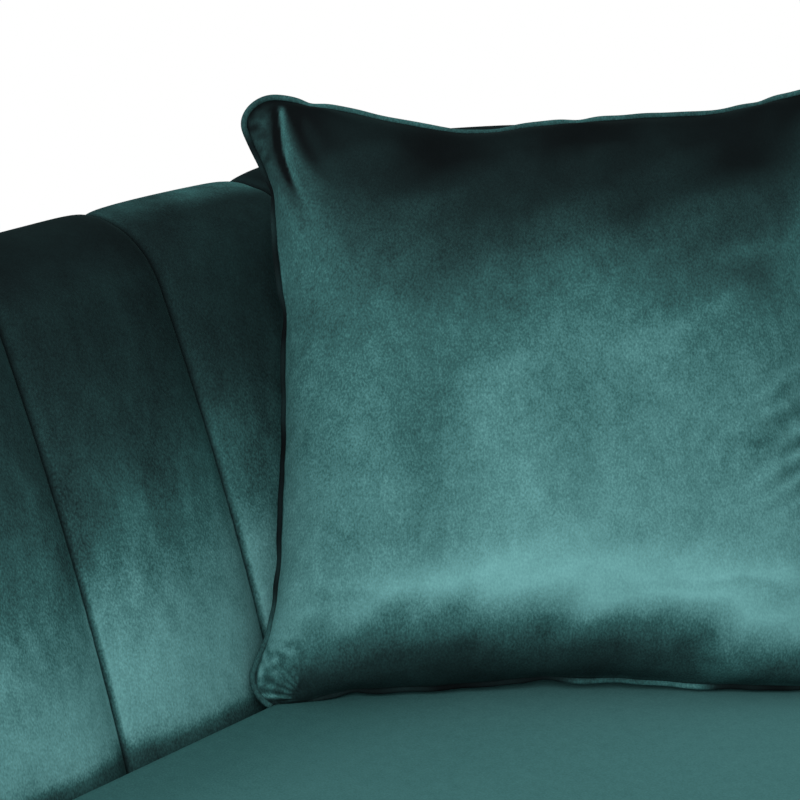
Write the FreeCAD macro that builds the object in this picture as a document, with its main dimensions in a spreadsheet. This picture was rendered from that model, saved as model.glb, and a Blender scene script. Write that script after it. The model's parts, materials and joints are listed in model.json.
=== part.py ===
import FreeCAD, Part
import math
import os
import Sketcher

# Three-seat sofa with a channel-tufted wall: the padded channels run up the inside of both arms and the
# back, flare outward, roll over the crest and end on the outside. Frame: +X right, +Y back, +Z up,
# millimetres, origin on the floor under the middle of the overall box.

V = FreeCAD.Vector
UP = V(0, 0, 1)

SIZES = [
    # plan of the channelled wall, measured at the seams
    ("channel_pitch", 162),
    ("back_channels", 9),
    ("arm_channels", 3),
    ("corner_channels", 3),
    ("corner_radius", 107),
    # section of the wall
    ("pad_edge", 18),
    ("pad_crown", 22),
    ("corner_fade", 0.5),
    ("crest_fade", 0.3),
    ("tail_edge", 8),
    ("tail_crown", 8),
    ("lean_low", 16),
    ("foot_sweep", 200),
    ("wall_sweep", 2000),
    ("roll_radius", 57),
    ("tail_radius", 34),
    ("tail_length", 30),
    ("roll_start", 288),
    ("lean_rise", 55),
    # heights
    ("leg_height", 150),
    ("rail_height", 135),
    ("pad_foot", 15),
    ("cushion_height", 150),
    ("cushion_crown", 16),
    # frame stock
    ("rail_thick", 25),
    ("rail_inset", 45),
    ("panel_thick", 4),
    ("rib_thick", 18),
    ("rib_web", 28),
    ("top_rail_drop", 45),
    ("cover_thick", 4),
    ("cover_foot", 100),
    ("cover_head", 11),
    ("facing_thick", 30),
    ("stretcher_width", 40),
    ("stretcher_height", 60),
    ("block_side", 80),
    ("block_height", 45),
    # legs
    ("leg_top", 38),
    ("leg_toe", 22),
    ("stud_size", 8),
    ("stud_length", 60),
    ("plate_size", 60),
    ("plate_thick", 3),
    ("glide_thick", 4),
    # webbing and sheets
    ("strap_width", 70),
    ("strap_thick", 2),
    ("sheet_thick", 2),
    # throw pillows
    ("pillow_side", 445),
    ("pillow_half", 66),
    ("pillow_draw", 14),
    ("pillow_ear", 16),
    ("piping_size", 7.5),
    ("cloth_thick", 1.6),
    ("pillow_lean", 25),
    ("pillow_turn", 41),
    ("pillow_in", 17.077),
    ("pillow_fore", 21.027),
    ("pillow_rise", 0.53),
    # clearances
    ("seam_gap", 0.4),
    ("fit_gap", 0.3),
]

doc = FreeCAD.newDocument("ChannelSofa")
sheet = doc.addObject("Spreadsheet::Sheet", "Sizes")
for row, (alias, number) in enumerate(SIZES, 1):
    sheet.set("A%d" % row, alias)
    sheet.set("B%d" % row, str(number))
    sheet.setAlias("B%d" % row, alias)
doc.recompute()


def size(alias):
    """Read one driving dimension from the sheet."""
    return float(sheet.get(alias))


# Sizes that follow from the driving ones.
gap = size("fit_gap")
pitch = size("channel_pitch")
corner = size("corner_radius")
back_half = pitch * size("back_channels") / 2
inner_half = back_half + corner
arm_run = pitch * size("arm_channels")
rail_top = size("leg_height") + size("rail_height")
pad_low = rail_top + size("pad_foot")
seat_level = pad_low + size("cushion_height")
piece_list = []


class Wall:
    """Section of the channelled wall: u is outward from the seam line at the seat, z is up."""

    def __init__(self):
        self.low = math.radians(size("lean_low"))
        self.foot_u = size("pad_edge")
        self.foot_z = seat_level - size("lean_rise")
        foot = size("foot_sweep")
        sweep = size("wall_sweep")
        roll = size("roll_radius")
        tail = size("tail_radius")
        self.foot_arc = ((self.foot_u + foot, self.foot_z), foot)
        start = self.at(self.foot_arc, self.low)
        self.sweep_arc = ((start[0] + sweep * math.cos(self.low), start[1] - sweep * math.sin(self.low)), sweep)
        rise = seat_level + size("roll_start") - start[1]
        self.high = math.asin(math.sin(self.low) + rise / sweep)
        end = self.at(self.sweep_arc, self.high)
        self.roll_z = end[1]
        self.roll_arc = ((end[0] + roll * math.cos(self.high), end[1] - roll * math.sin(self.high)), roll)
        self.crest = (self.roll_arc[0][0], self.roll_arc[0][1] + roll)
        self.tail_centre = (self.crest[0], self.crest[1] - tail)
        self.tail_z = self.tail_centre[1] - size("tail_length")
        self.tail_u = self.crest[0] + tail
        self.out = self.tail_u + size("tail_edge") + size("tail_crown")

    @staticmethod
    def at(arc, lean, thick=0.0):
        """Point of an arc where the wall leans by the angle lean, thick in front of the frame line."""
        (u, z), radius = arc
        reach = radius + thick
        return (u - reach * math.cos(lean), z + reach * math.sin(lean))

    def rise_edges(self, thick, low_z, top_lean=None, roll=True):
        """Edges up the wall, thick in front of the frame line (negative is behind it)."""
        points = [(self.foot_u - thick, low_z), (self.foot_u - thick, self.foot_z)]
        edges = [line(*points)]
        high = self.high if top_lean is None else top_lean
        edges.append(self.arc(self.foot_arc, 0.0, self.low, thick))
        edges.append(self.arc(self.sweep_arc, self.low, high, thick))
        if roll:
            edges.append(self.arc(self.roll_arc, self.high, math.pi / 2, thick))
        return edges

    def arc(self, arc, first, last, thick=0.0):
        """Arc edge between two leans."""
        middle = (first + last) / 2
        return bow(self.at(arc, first, thick), self.at(arc, middle, thick), self.at(arc, last, thick))

    def tail_edges(self, thick, out):
        """Edges from the crest over to the outside: thick over the crest, out beside the tail."""
        tail = size("tail_radius")
        u, z = self.tail_centre
        side = tail + out
        top = tail + thick
        root = math.sqrt(0.5)
        turn = bow((u, z + top), (u + side * root, z + top * root), (u + side, z))
        return [turn, line((u + side, z), (u + side, self.tail_z))]

    def lean_at(self, z):
        """Lean of the frame line at a height on its long sweep."""
        (_, centre_z), radius = self.sweep_arc
        return math.asin((z - centre_z) / radius)

    def cover_u(self, z):
        """Outer face of the outside cover at a height."""
        head = self.tail_u + size("cover_head")
        foot = size("cover_foot")
        base = size("leg_height")
        return foot + (head - foot) * (z - base) / (self.tail_z - base)


def point(place):
    """Point of the section plane: the corner axis is the vertical axis of the plane."""
    return V(corner + place[0], 0, place[1])


def line(first, last):
    """Straight edge of the section plane."""
    return Part.LineSegment(point(first), point(last)).toShape()


def bow(first, middle, last):
    """Arc edge of the section plane."""
    return Part.Arc(point(first), point(middle), point(last)).toShape()


def ends(edges):
    """First and last point of a run of section edges that follow one another."""
    first = edges[0].firstVertex(True).Point
    last = edges[-1].lastVertex(True).Point
    return first, last


def closed(up, down):
    """Close two runs of edges that both go the same way into one wire."""
    low_a, high_a = ends(up)
    low_b, high_b = ends(down)
    chain = list(up)
    chain.append(Part.LineSegment(high_a, high_b).toShape())
    chain.extend(reversed(down))
    chain.append(Part.LineSegment(low_b, low_a).toShape())
    return Part.Wire(Part.__sortEdges__(chain))


wall = Wall()
depth = corner + arm_run + gap + size("facing_thick") + wall.out
back_line = depth / 2 - wall.out
front_line = -depth / 2
axis_y = back_line - corner

PLACES = {
    "back": FreeCAD.Placement(V(0, axis_y, 0), FreeCAD.Rotation(UP, 90)),
    "right": FreeCAD.Placement(V(back_half, axis_y, 0), FreeCAD.Rotation(UP, 0)),
    "left": FreeCAD.Placement(V(-back_half, axis_y, 0), FreeCAD.Rotation(UP, 180)),
}


def keep(item, label):
    """Register a finished sub-part under its label."""
    item.Label = label
    piece_list.append(item)
    return item


def feature(label, shape, placement=None):
    """Sub-part whose shape is worked out here from the sheet's sizes."""
    item = doc.addObject("Part::Feature", label)
    item.Shape = shape
    if placement is not None:
        item.Placement = placement
    return keep(item, label)


def spread(label, shape, placements):
    """One node of like pieces: copies of a shape at several places."""
    copies = []
    for placement in placements:
        copy = shape.copy()
        copy.Placement = placement.multiply(shape.Placement)
        copies.append(copy)
    return feature(label, Part.makeCompound(copies))


def bind(item, sizes):
    """Bind properties of an object to the sheet."""
    for name, formula in sizes.items():
        item.setExpression(name, formula)
    return item


def plane(body, role):
    """Origin plane of a body by its role."""
    for item in body.Origin.OriginFeatures:
        if item.Role == role:
            return item
    raise ValueError(role)


def new_sketch(body, name, role):
    """Sketch on one of the body's own origin planes."""
    sketch = body.newObject("Sketcher::SketchObject", name)
    sketch.AttachmentSupport = [(plane(body, role), "")]
    sketch.MapMode = "FlatFace"
    return sketch


def oblong(sketch, formulas):
    """Rectangle of a sketch; left, right, low and high are bound to the sheet."""
    left, right, low, high = [1, 2, 1, 2]
    corners = [V(left, low, 0), V(right, low, 0), V(right, high, 0), V(left, high, 0)]
    for index in range(4):
        sketch.addGeometry(Part.LineSegment(corners[index], corners[(index + 1) % 4]))
    for index in range(4):
        sketch.addConstraint(Sketcher.Constraint("Coincident", index, 2, (index + 1) % 4, 1))
        kind = "Horizontal" if index % 2 == 0 else "Vertical"
        sketch.addConstraint(Sketcher.Constraint(kind, index))
    spots = [("left", "DistanceX", 0, 1), ("right", "DistanceX", 1, 1), ("low", "DistanceY", 0, 1),
             ("high", "DistanceY", 2, 1)]
    for (name, kind, edge, end), number in zip(spots, (left, right, low, high)):
        number_of = sketch.addConstraint(Sketcher.Constraint(kind, -1, 1, edge, end, number))
        sketch.renameConstraint(number_of, name)
        sketch.setExpression("Constraints." + name, formulas[name])
    return sketch


def trace(sketch, wire):
    """Copy a wire of the section plane into a sketch on the XZ plane, joined end to end."""
    edges = wire.OrderedEdges
    for edge in edges:
        first = edge.firstVertex(True).Point
        last = edge.lastVertex(True).Point
        flat = [V(spot.x, spot.z, 0) for spot in (first, last)]
        if edge.Curve.TypeId == "Part::GeomLine":
            sketch.addGeometry(Part.LineSegment(flat[0], flat[1]))
        else:
            middle = edge.valueAt((edge.FirstParameter + edge.LastParameter) / 2)
            sketch.addGeometry(Part.Arc(flat[0], V(middle.x, middle.z, 0), flat[1]))
    return sketch


def run_round(label, where, draw):
    """Body with one section along the back, or along an arm and round its corner."""
    body = doc.addObject("PartDesign::Body", label)
    section = draw(new_sketch(body, label + "_section", "XZ_Plane"))
    pad = body.newObject("PartDesign::Pad", label + "_straight")
    pad.Profile = section
    if where == "back":
        pad.Midplane = True
        bind(pad, {"Length": "Sizes.channel_pitch * Sizes.back_channels - 2 * Sizes.fit_gap"})
    else:
        bind(pad, {"Length": "Sizes.channel_pitch * Sizes.arm_channels"})
        pad.Reversed = where == "left"
        doc.recompute()
        bend = body.newObject("PartDesign::Revolution", label + "_corner")
        bend.Profile = section
        bend.ReferenceAxis = (section, ["V_Axis"])
        bend.Angle = 90
        bend.Reversed = where == "left"
    body.Placement = PLACES[where]
    doc.recompute()
    return keep(body, label)


def rail_section(sketch):
    """Base rail: a board on edge inside the foot of the outside cover."""
    outer = "Sizes.corner_radius + Sizes.rail_inset"
    return oblong(sketch, {
        "left": outer,
        "right": outer + " + Sizes.rail_thick",
        "low": "Sizes.leg_height",
        "high": "Sizes.leg_height + Sizes.rail_height",
    })


def top_rail_section(sketch):
    """Top rail: fills the roll from the end of the inside panel to the tail."""
    low_z = wall.roll_z - size("top_rail_drop")
    lean = wall.lean_at(low_z)
    face = [wall.arc(wall.sweep_arc, lean, wall.high, -gap), wall.arc(wall.roll_arc, wall.high, math.pi / 2, -gap)]
    u, z = wall.tail_centre
    tail = size("tail_radius") - gap
    root = math.sqrt(0.5)
    face.append(bow((u, wall.crest[1] - gap), (u + tail * root, z + tail * root), (u + tail, z)))
    start = wall.at(wall.sweep_arc, lean, -gap)
    face.append(line((u + tail, z), (u + tail, start[1])))
    face.append(line((u + tail, start[1]), start))
    return trace(sketch, Part.Wire(face))


def panel_section(sketch):
    """Inside panel: thin board behind the pads, from the deck to the top rail."""
    lean = wall.lean_at(wall.roll_z - size("top_rail_drop") - 2 * gap)
    low_z = pad_low - size("panel_thick")
    front = wall.rise_edges(-gap, low_z, lean, roll=False)
    rear = wall.rise_edges(-gap - size("panel_thick"), low_z, lean, roll=False)
    return trace(sketch, closed(front, rear))


def cover_section(sketch):
    """Outside cover: slanted board under cloth from the tail of the pads to the foot of the rail."""
    base = size("leg_height")
    top = wall.tail_z - gap
    thick = size("cover_thick")
    spots = [(wall.cover_u(base), base), (wall.cover_u(top), top)]
    spots += [(wall.cover_u(top) - thick, top), (wall.cover_u(base) - thick, base)]
    edges = [line(spots[index], spots[(index + 1) % 4]) for index in range(4)]
    return trace(sketch, Part.Wire(edges))


for side in ("back", "left", "right"):
    run_round(side + "_rail", side, rail_section)
    run_round(side + "_top_rail", side, top_rail_section)
    run_round(side + "_panel", side, panel_section)
    run_round(side + "_cover", side, cover_section)


# Channel pads: thin at the seams and full between them, lofted from seam to seam.
def front_edges(crown, low_z, fade=1.0):
    """Front of the padding from a height over the crest to the tail, where it stands up by a part of its crown.

    The crown is full on the wall and lower on the crest; fade lowers it at the foot too.
    """
    edge = size("pad_edge")
    full = size("pad_crown") * crown
    foot = edge + full * fade
    thick = edge + full
    top = edge + full * size("crest_fade")
    out = size("tail_edge") + size("tail_crown") * crown
    front = wall.rise_edges(foot, low_z, roll=False)[:2]
    middle = wall.at(wall.sweep_arc, (wall.low + wall.high) / 2, (foot + thick) / 2)
    front.append(bow(wall.at(wall.sweep_arc, wall.low, foot), middle, wall.at(wall.sweep_arc, wall.high, thick)))
    middle = wall.at(wall.roll_arc, (wall.high + math.pi / 2) / 2, (thick + top) / 2)
    front.append(bow(wall.at(wall.roll_arc, wall.high, thick), middle, wall.at(wall.roll_arc, math.pi / 2, top)))
    return front + wall.tail_edges(top, out)


def pad_wire(crown, fade=1.0):
    """Section of a pad between the frame line and its front."""
    rear = wall.rise_edges(0.0, pad_low) + wall.tail_edges(0.0, 0.0)
    return closed(rear, front_edges(crown, pad_low, fade))


def fullness(part):
    """Crown across a channel: quick rise beside the seams, nearly flat in the middle."""
    return max(0.0, 1 - abs(2 * part - 1) ** 2.6) ** 0.62


STATIONS = (0.0, 0.06, 0.2, 0.5, 0.8, 0.94, 1.0)


def straight_pad(label, where, start, width):
    """Pad of a straight stretch: start is its first seam along the wall."""
    half_gap = size("seam_gap") / 2
    wires = []
    for part in STATIONS:
        wire = pad_wire(fullness(part))
        wire.translate(V(0, start + half_gap + part * (width - 2 * half_gap), 0))
        wires.append(wire)
    return feature(label, Part.makeLoft(wires, True, False), PLACES[where])


def corner_pad(label, where, start, turn):
    """Pad of a corner: start and turn are angles round the corner axis, in degrees."""
    slack = math.degrees(size("seam_gap") / 2 / corner)
    wires = []
    for part in STATIONS:
        wire = pad_wire(fullness(part), size("corner_fade"))
        wire.rotate(V(0, 0, 0), UP, start + slack + part * (turn - 2 * slack))
        wires.append(wire)
    return feature(label, Part.makeLoft(wires, True, False), PLACES[where])


back_count = int(size("back_channels"))
arm_count = int(size("arm_channels"))
corner_count = int(size("corner_channels"))
for index in range(back_count):
    straight_pad("back_channel_%d" % (index + 1), "back", back_half - (index + 1) * pitch, pitch)
for index in range(corner_count):
    step = 90.0 / corner_count
    corner_pad("right_corner_channel_%d" % (index + 1), "right", index * step, step)
    corner_pad("left_corner_channel_%d" % (index + 1), "left", -(index + 1) * step, step)
for index in range(arm_count):
    straight_pad("right_arm_channel_%d" % (index + 1), "right", -(index + 1) * pitch, pitch)
    straight_pad("left_arm_channel_%d" % (index + 1), "left", index * pitch, pitch)


# Plywood uprights: one at each seam, between the inside panel and the outside cover.
def rib_shape():
    """Upright on the section plane, lightened by one opening."""
    behind = -gap - size("panel_thick") - gap
    low_z = rail_top + gap
    high_z = wall.roll_z - size("top_rail_drop") - 3 * gap
    inner = wall.rise_edges(behind, low_z, wall.lean_at(high_z), roll=False)
    top = ends(inner)[1]
    inside = size("cover_thick") + gap
    outer = [line((wall.cover_u(low_z) - inside, low_z), (wall.cover_u(top.z) - inside, top.z))]
    web = size("rib_web")
    low_cut = seat_level - size("cushion_height") / 2
    high_cut = high_z - web
    cut_lean = wall.lean_at(high_cut)
    hole_inner = [line((wall.foot_u - behind + web, low_cut), wall.at(wall.sweep_arc, wall.low, behind - web))]
    hole_inner.append(wall.arc(wall.sweep_arc, wall.low, cut_lean, behind - web))
    hole_top = ends(hole_inner)[1]
    hole_outer = [line((wall.cover_u(low_cut) - inside - web, low_cut),
                       (wall.cover_u(hole_top.z) - inside - web, hole_top.z))]
    face = Part.Face([closed(inner, outer), closed(hole_inner, hole_outer)])
    face.validate()
    solid = face.extrude(V(0, size("rib_thick"), 0))
    solid.translate(V(0, -size("rib_thick") / 2, 0))
    return solid


def along(where, shift=0.0, angle=0.0):
    """Placement on the wall: a shift along a straight stretch or an angle round a corner."""
    move = FreeCAD.Placement(V(0, shift, 0), FreeCAD.Rotation(UP, angle))
    return PLACES[where].multiply(move)


rib_places = []
for index in range(1, back_count):
    rib_places.append(along("back", back_half - index * pitch))
for index in range(corner_count + 1):
    angle = 90.0 * index / corner_count
    rib_places.append(along("right", angle=angle))
    rib_places.append(along("left", angle=-angle))
for index in range(1, arm_count):
    rib_places.append(along("right", -index * pitch))
    rib_places.append(along("left", index * pitch))
end_shift = arm_run - size("rib_thick") / 2
rib_places.append(along("right", -end_shift))
rib_places.append(along("left", end_shift))
spread("upright_ribs", rib_shape(), rib_places)


# Arm front facings: the wall's section as a padded end plate, drawn in round its front edge.
def facing_wire(crown, inset):
    """Outline of a facing; inset draws its outer and lower edges in."""
    base = size("leg_height") + inset
    inner = front_edges(crown, base)
    outer = [line((wall.cover_u(base) - inset, base), ends_uv(inner))]
    return closed(inner, outer)


def ends_uv(edges):
    """Last point of a run of edges a little inside, in section coordinates."""
    last = ends(edges)[1]
    return (last.x - corner - 0.5, last.z - 0.5)


def facing(label, where, sense):
    """Facing in front of an arm's last channel; sense is the way to the front along the local Y axis."""
    thick = size("facing_thick")
    wires = []
    for part, crown, inset in ((0.0, 0.8, 0.0), (0.55, 0.8, 0.0), (0.88, 0.58, 4.0), (1.0, 0.2, 10.0)):
        wire = facing_wire(crown, inset)
        wire.translate(V(0, sense * (arm_run + gap + part * thick), 0))
        wires.append(wire)
    return feature(label, Part.makeLoft(wires, True, False), PLACES[where])


facing("right_arm_front", "right", -1)
facing("left_arm_front", "left", 1)


def plank(label, sizes, spot):
    """Board: Length, Width, Height and the corner's X, Y, Z, bound to the sheet where formulas are given."""
    board = doc.addObject("Part::Box", label)
    bind(board, sizes)
    board.Placement = FreeCAD.Placement(spot, FreeCAD.Rotation())
    doc.recompute()
    return board


# Base: front rail, stretchers and the blocks that take the legs.
rail_thick = size("rail_thick")
rail_in = size("rail_inset")
base_z = size("leg_height")
rail_front = back_line - corner - arm_run
front_width = "Sizes.channel_pitch * Sizes.back_channels + 2 * Sizes.corner_radius"
front_rail = plank("front_rail", {
    "Length": front_width + " + 2 * (Sizes.rail_inset - Sizes.fit_gap)",
    "Width": "Sizes.rail_thick",
    "Height": "Sizes.rail_height",
}, V(-inner_half - rail_in + gap, rail_front, base_z))
keep(front_rail, "front_rail")

block = size("block_side")
block_y = rail_front + rail_thick + gap
block_board = plank("leg_block", {
    "Length": "Sizes.block_side",
    "Width": "Sizes.block_side",
    "Height": "Sizes.block_height",
}, V(-block / 2, -block / 2, 0))
bore = doc.addObject("Part::Cylinder", "leg_block_bore")
bind(bore, {"Radius": "Sizes.stud_size / 2 + Sizes.fit_gap", "Height": "Sizes.block_height"})
bored = doc.addObject("Part::Cut", "leg_block_bored")
bored.Base = block_board
bored.Tool = bore
doc.recompute()
front_leg_y = block_y + block / 2
front_leg_x = inner_half + rail_in - gap - block / 2
reach = math.sqrt((corner + rail_in - 2 * gap) ** 2 - (block / 2) ** 2) - block / 2
root = math.sqrt(0.5)
back_leg = (back_half + reach * root, axis_y + reach * root)
middle_back_y = back_line + rail_in - gap - block / 2
leg_spots = {
    "front": [(front_leg_x, front_leg_y, 0), (0, front_leg_y, 0), (-front_leg_x, front_leg_y, 0)],
    "back": [(back_leg[0], back_leg[1], 45), (0, middle_back_y, 0), (-back_leg[0], back_leg[1], -45)],
}


def leg_places(row, z):
    """Placements at the legs of one row, or of both, at a height."""
    rows = ("front", "back") if row == "all" else (row,)
    places = []
    for name in rows:
        for x, y, turn in leg_spots[name]:
            places.append(FreeCAD.Placement(V(x, y, z), FreeCAD.Rotation(UP, turn)))
    return places


spread("leg_blocks", bored.Shape, leg_places("all", base_z))

stretcher_z = base_z + size("block_height") + gap
stretcher = plank("stretcher", {
    "Length": "Sizes.stretcher_width",
    "Width": "Sizes.corner_radius + Sizes.channel_pitch * Sizes.arm_channels + Sizes.rail_inset"
             " - Sizes.rail_thick - 2 * Sizes.fit_gap",
    "Height": "Sizes.stretcher_height",
}, V(-size("stretcher_width") / 2, block_y, stretcher_z))
third = inner_half / 2
spread("seat_stretchers", stretcher.Shape,
       [FreeCAD.Placement(V(x, 0, 0), FreeCAD.Rotation()) for x in (-third, 0, third)])

# Legs: turned tapers on plates, each held by a stud, standing on glides.
leg_low = size("glide_thick") + gap / 2
plate_low = base_z - gap - size("plate_thick")
leg_cone = doc.addObject("Part::Cone", "leg_cone")
bind(leg_cone, {
    "Radius1": "Sizes.leg_toe / 2",
    "Radius2": "Sizes.leg_top / 2",
    "Height": "Sizes.leg_height - Sizes.glide_thick - Sizes.plate_thick - 2 * Sizes.fit_gap",
})
stud_room = doc.addObject("Part::Cylinder", "leg_bore")
bind(stud_room, {"Radius": "Sizes.stud_size / 2 + Sizes.fit_gap", "Height": "Sizes.stud_length"})
leg_long = base_z - size("glide_thick") - size("plate_thick") - 2 * gap
bore_low = leg_long - size("stud_length") / 2
stud_room.Placement = FreeCAD.Placement(V(0, 0, bore_low), FreeCAD.Rotation())
leg = doc.addObject("Part::Cut", "leg_turned")
leg.Base = leg_cone
leg.Tool = stud_room
doc.recompute()
spread("front_legs", leg.Shape, leg_places("front", leg_low))
spread("back_legs", leg.Shape, leg_places("back", leg_low))

stud = doc.addObject("Part::Cylinder", "stud")
bind(stud, {"Radius": "Sizes.stud_size / 2", "Height": "Sizes.stud_length"})
doc.recompute()
spread("leg_studs", stud.Shape, leg_places("all", leg_low + bore_low + gap))

plate_disc = doc.addObject("Part::Cylinder", "plate_disc")
bind(plate_disc, {"Radius": "Sizes.plate_size / 2", "Height": "Sizes.plate_thick"})
plate_hole = doc.addObject("Part::Cylinder", "plate_hole")
bind(plate_hole, {"Radius": "Sizes.stud_size / 2 + Sizes.fit_gap", "Height": "Sizes.plate_thick"})
leg_plate = doc.addObject("Part::Cut", "leg_plate")
leg_plate.Base = plate_disc
leg_plate.Tool = plate_hole
doc.recompute()
spread("leg_plates", leg_plate.Shape, leg_places("all", plate_low))

glide = doc.addObject("Part::Cylinder", "glide")
bind(glide, {"Radius": "Sizes.leg_toe / 2 - 1", "Height": "Sizes.glide_thick"})
doc.recompute()
spread("leg_glides", glide.Shape, leg_places("all", 0.0))

# Webbing under the seat: straps from the front rail to the back rail, and a second layer from arm to arm.
strap = size("strap_thick")
strap_wide = size("strap_width")
strap_z = rail_top + gap
long_strap = plank("long_strap", {
    "Length": "Sizes.strap_width",
    "Width": "Sizes.corner_radius + Sizes.channel_pitch * Sizes.arm_channels + Sizes.rail_inset",
    "Height": "Sizes.strap_thick",
}, V(-strap_wide / 2, rail_front + rail_thick / 2, strap_z))
channel_middles = [(index + 0.5) * pitch - back_half for index in range(back_count)]
cross_strap = plank("cross_strap", {
    "Length": front_width + " + 2 * Sizes.rail_inset + Sizes.rail_thick",
    "Width": "Sizes.strap_width",
    "Height": "Sizes.strap_thick",
}, V(-inner_half - rail_in - rail_thick / 2, -strap_wide / 2, strap_z + strap + gap))
arm_middles = [axis_y - (index + 0.5) * pitch for index in range(arm_count)]
straps = []
for x in channel_middles:
    straps.append(long_strap.Shape.translated(V(x, 0, 0)))
for y in arm_middles:
    straps.append(cross_strap.Shape.translated(V(0, y, 0)))
feature("seat_webbing", Part.makeCompound(straps))


# Sheets and the seat cushion share one outline: straight front, back corners round the wall's corner axes.
def seat_wire(inset, z, front=0.0):
    """Outline inside the full channels, drawn in by inset; front moves the front edge back."""
    side = inner_half - size("pad_crown") - inset
    rear = back_line - size("pad_crown") - inset
    fore = front_line + front + inset
    turn = max(corner - size("pad_crown") - inset, 24.0)
    nose = min(max(34.0 - inset / 2, 6.0), 34.0)
    root = math.sqrt(0.5)
    spots = [V(-side + nose, fore, z), V(side - nose, fore, z), V(side, fore + nose, z), V(side, rear - turn, z),
             V(side - turn, rear, z), V(-side + turn, rear, z), V(-side, rear - turn, z), V(-side, fore + nose, z)]
    mids = {
        1: V(side - nose + nose * root, fore + nose - nose * root, z),
        3: V(side - turn + turn * root, rear - turn + turn * root, z),
        5: V(-side + turn - turn * root, rear - turn + turn * root, z),
        7: V(-side + nose - nose * root, fore + nose - nose * root, z),
    }
    edges = []
    for index in range(8):
        first = spots[index]
        last = spots[(index + 1) % 8]
        if index in mids:
            edges.append(Part.Arc(first, mids[index], last).toShape())
        else:
            edges.append(Part.LineSegment(first, last).toShape())
    return Part.Wire(edges)


def slab(wire, thick):
    """Flat sheet of a given thickness on an outline."""
    return Part.Face(wire).extrude(V(0, 0, thick))


sheet_thick = size("sheet_thick")
deck_z = strap_z + 2 * (strap + gap)
deck_front = size("facing_thick") + gap
feature("seat_deck", slab(seat_wire(gap, deck_z, deck_front), sheet_thick))

dust_out = size("pad_crown") + size("cover_foot") - size("cover_thick") - gap
dust_edge = seat_wire(-dust_out, base_z - gap - sheet_thick / 2, dust_out + size("facing_thick") + 1)
dust = slab(dust_edge, sheet_thick / 2)
for placement in leg_places("all", 0.0):
    room = Part.makeCylinder(size("plate_size") / 2 + 2, base_z, placement.Base)
    dust = dust.cut(room)
feature("dust_cover", dust)

apron_body = doc.addObject("PartDesign::Body", "front_apron")
apron_sketch = oblong(new_sketch(apron_body, "front_apron_face", "XZ_Plane"), {
    "left": "1",
    "right": "1 + " + front_width + " - 2 * (0.8 * Sizes.pad_crown + 3 * Sizes.fit_gap)",
    "low": "Sizes.leg_height",
    "high": "Sizes.leg_height + Sizes.rail_height + Sizes.pad_foot / 4",
})
apron_pad = apron_body.newObject("PartDesign::Pad", "front_apron_pad")
apron_pad.Profile = apron_sketch
bind(apron_pad, {"Length": "Sizes.facing_thick"})
doc.recompute()
front_edges = []
face_y = apron_pad.Shape.BoundBox.YMin
for number, edge in enumerate(apron_pad.Shape.Edges, 1):
    if all(abs(corner_of.Point.y - face_y) < 0.01 for corner_of in edge.Vertexes):
        front_edges.append("Edge%d" % number)
apron_round = apron_body.newObject("PartDesign::Fillet", "front_apron_edge")
apron_round.Base = (apron_pad, front_edges)
bind(apron_round, {"Radius": "Sizes.facing_thick / 3"})
apron_body.Placement = FreeCAD.Placement(
    V(-inner_half + 0.8 * size("pad_crown") + 3 * gap - 1, rail_front - gap, 0), FreeCAD.Rotation())
doc.recompute()
keep(apron_body, "front_apron")

# Seat cushion: boxed border, crowned top panel and flat bottom panel round a foam core.
cushion_low = deck_z + sheet_thick + gap
cloth = size("cloth_thick")
border_low = cushion_low + cloth + gap
border_high = seat_level - 3
nose_back = 4.0


def border_levels(inset):
    """Outlines of the cushion's sides, drawn in at half height."""
    middle = (border_low + border_high) / 2
    return [seat_wire(inset + 1.5, border_low, nose_back), seat_wire(inset + 3.5, middle, nose_back),
            seat_wire(inset + 1.5, border_high, nose_back)]


def crown_levels(inset, drop):
    """Outlines of the cushion's crowned top."""
    crown = size("cushion_crown") + seat_level - border_high
    wires = []
    for index in range(5):
        part = index / 4
        z = border_high + gap + crown * (1 - (1 - part) ** 3.5)
        wires.append(seat_wire(1.5 + 160 * part + inset, z - (drop if index else 0.0), nose_back))
    return wires


feature("seat_bottom_panel", slab(seat_wire(1.5, cushion_low, nose_back), cloth))
border_out = Part.makeLoft(border_levels(0.0), True, False)
border_in = Part.makeLoft(border_levels(cloth), True, False)
feature("seat_border", border_out.cut(border_in))
crown_out = Part.makeLoft(crown_levels(0.0, 0.0), True, False)
crown_in = Part.makeLoft(crown_levels(cloth, cloth), True, False)
feature("seat_top_panel", crown_out.cut(crown_in))
core_side = Part.makeLoft(border_levels(cloth + gap), True, False)
core_top = Part.makeLoft(crown_levels(cloth + gap, cloth + gap), True, False)
core_top.translate(V(0, 0, -gap))
feature("seat_core", core_side.fuse(core_top).removeSplitter())


# Throw pillows: two crowned panels with drawn-in sides, an insert and piping along the edge.
def pillow_wire(half, draw, ear, z):
    """Square outline with rounded ears; draw pulls the middle of each side in (negative lets it swell)."""
    heart = half - ear
    radius = (heart ** 2 + draw ** 2 - 2 * ear * draw) / (2 * draw)
    side = (0.0, half - draw + radius)
    away = V(side[0] - heart, side[1] - heart, 0)
    away.normalize()
    if draw < 0:
        away = away.multiply(-1)
    touch = V(heart, heart, 0) + away * ear
    diagonal = V(heart, heart, 0) + V(1, 1, 0).normalize() * ear
    edges = []
    for quarter in range(4):
        turn = FreeCAD.Rotation(UP, -90 * quarter)
        spots = [V(-touch.x, touch.y, 0), V(0, half - draw, 0), touch, diagonal, V(touch.y, touch.x, 0)]
        spots = [turn.multVec(spot) + V(0, 0, z) for spot in spots]
        edges.append(Part.Arc(spots[0], spots[1], spots[2]).toShape())
        edges.append(Part.Arc(spots[2], spots[3], spots[4]).toShape())
    return Part.Wire(edges)


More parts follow.
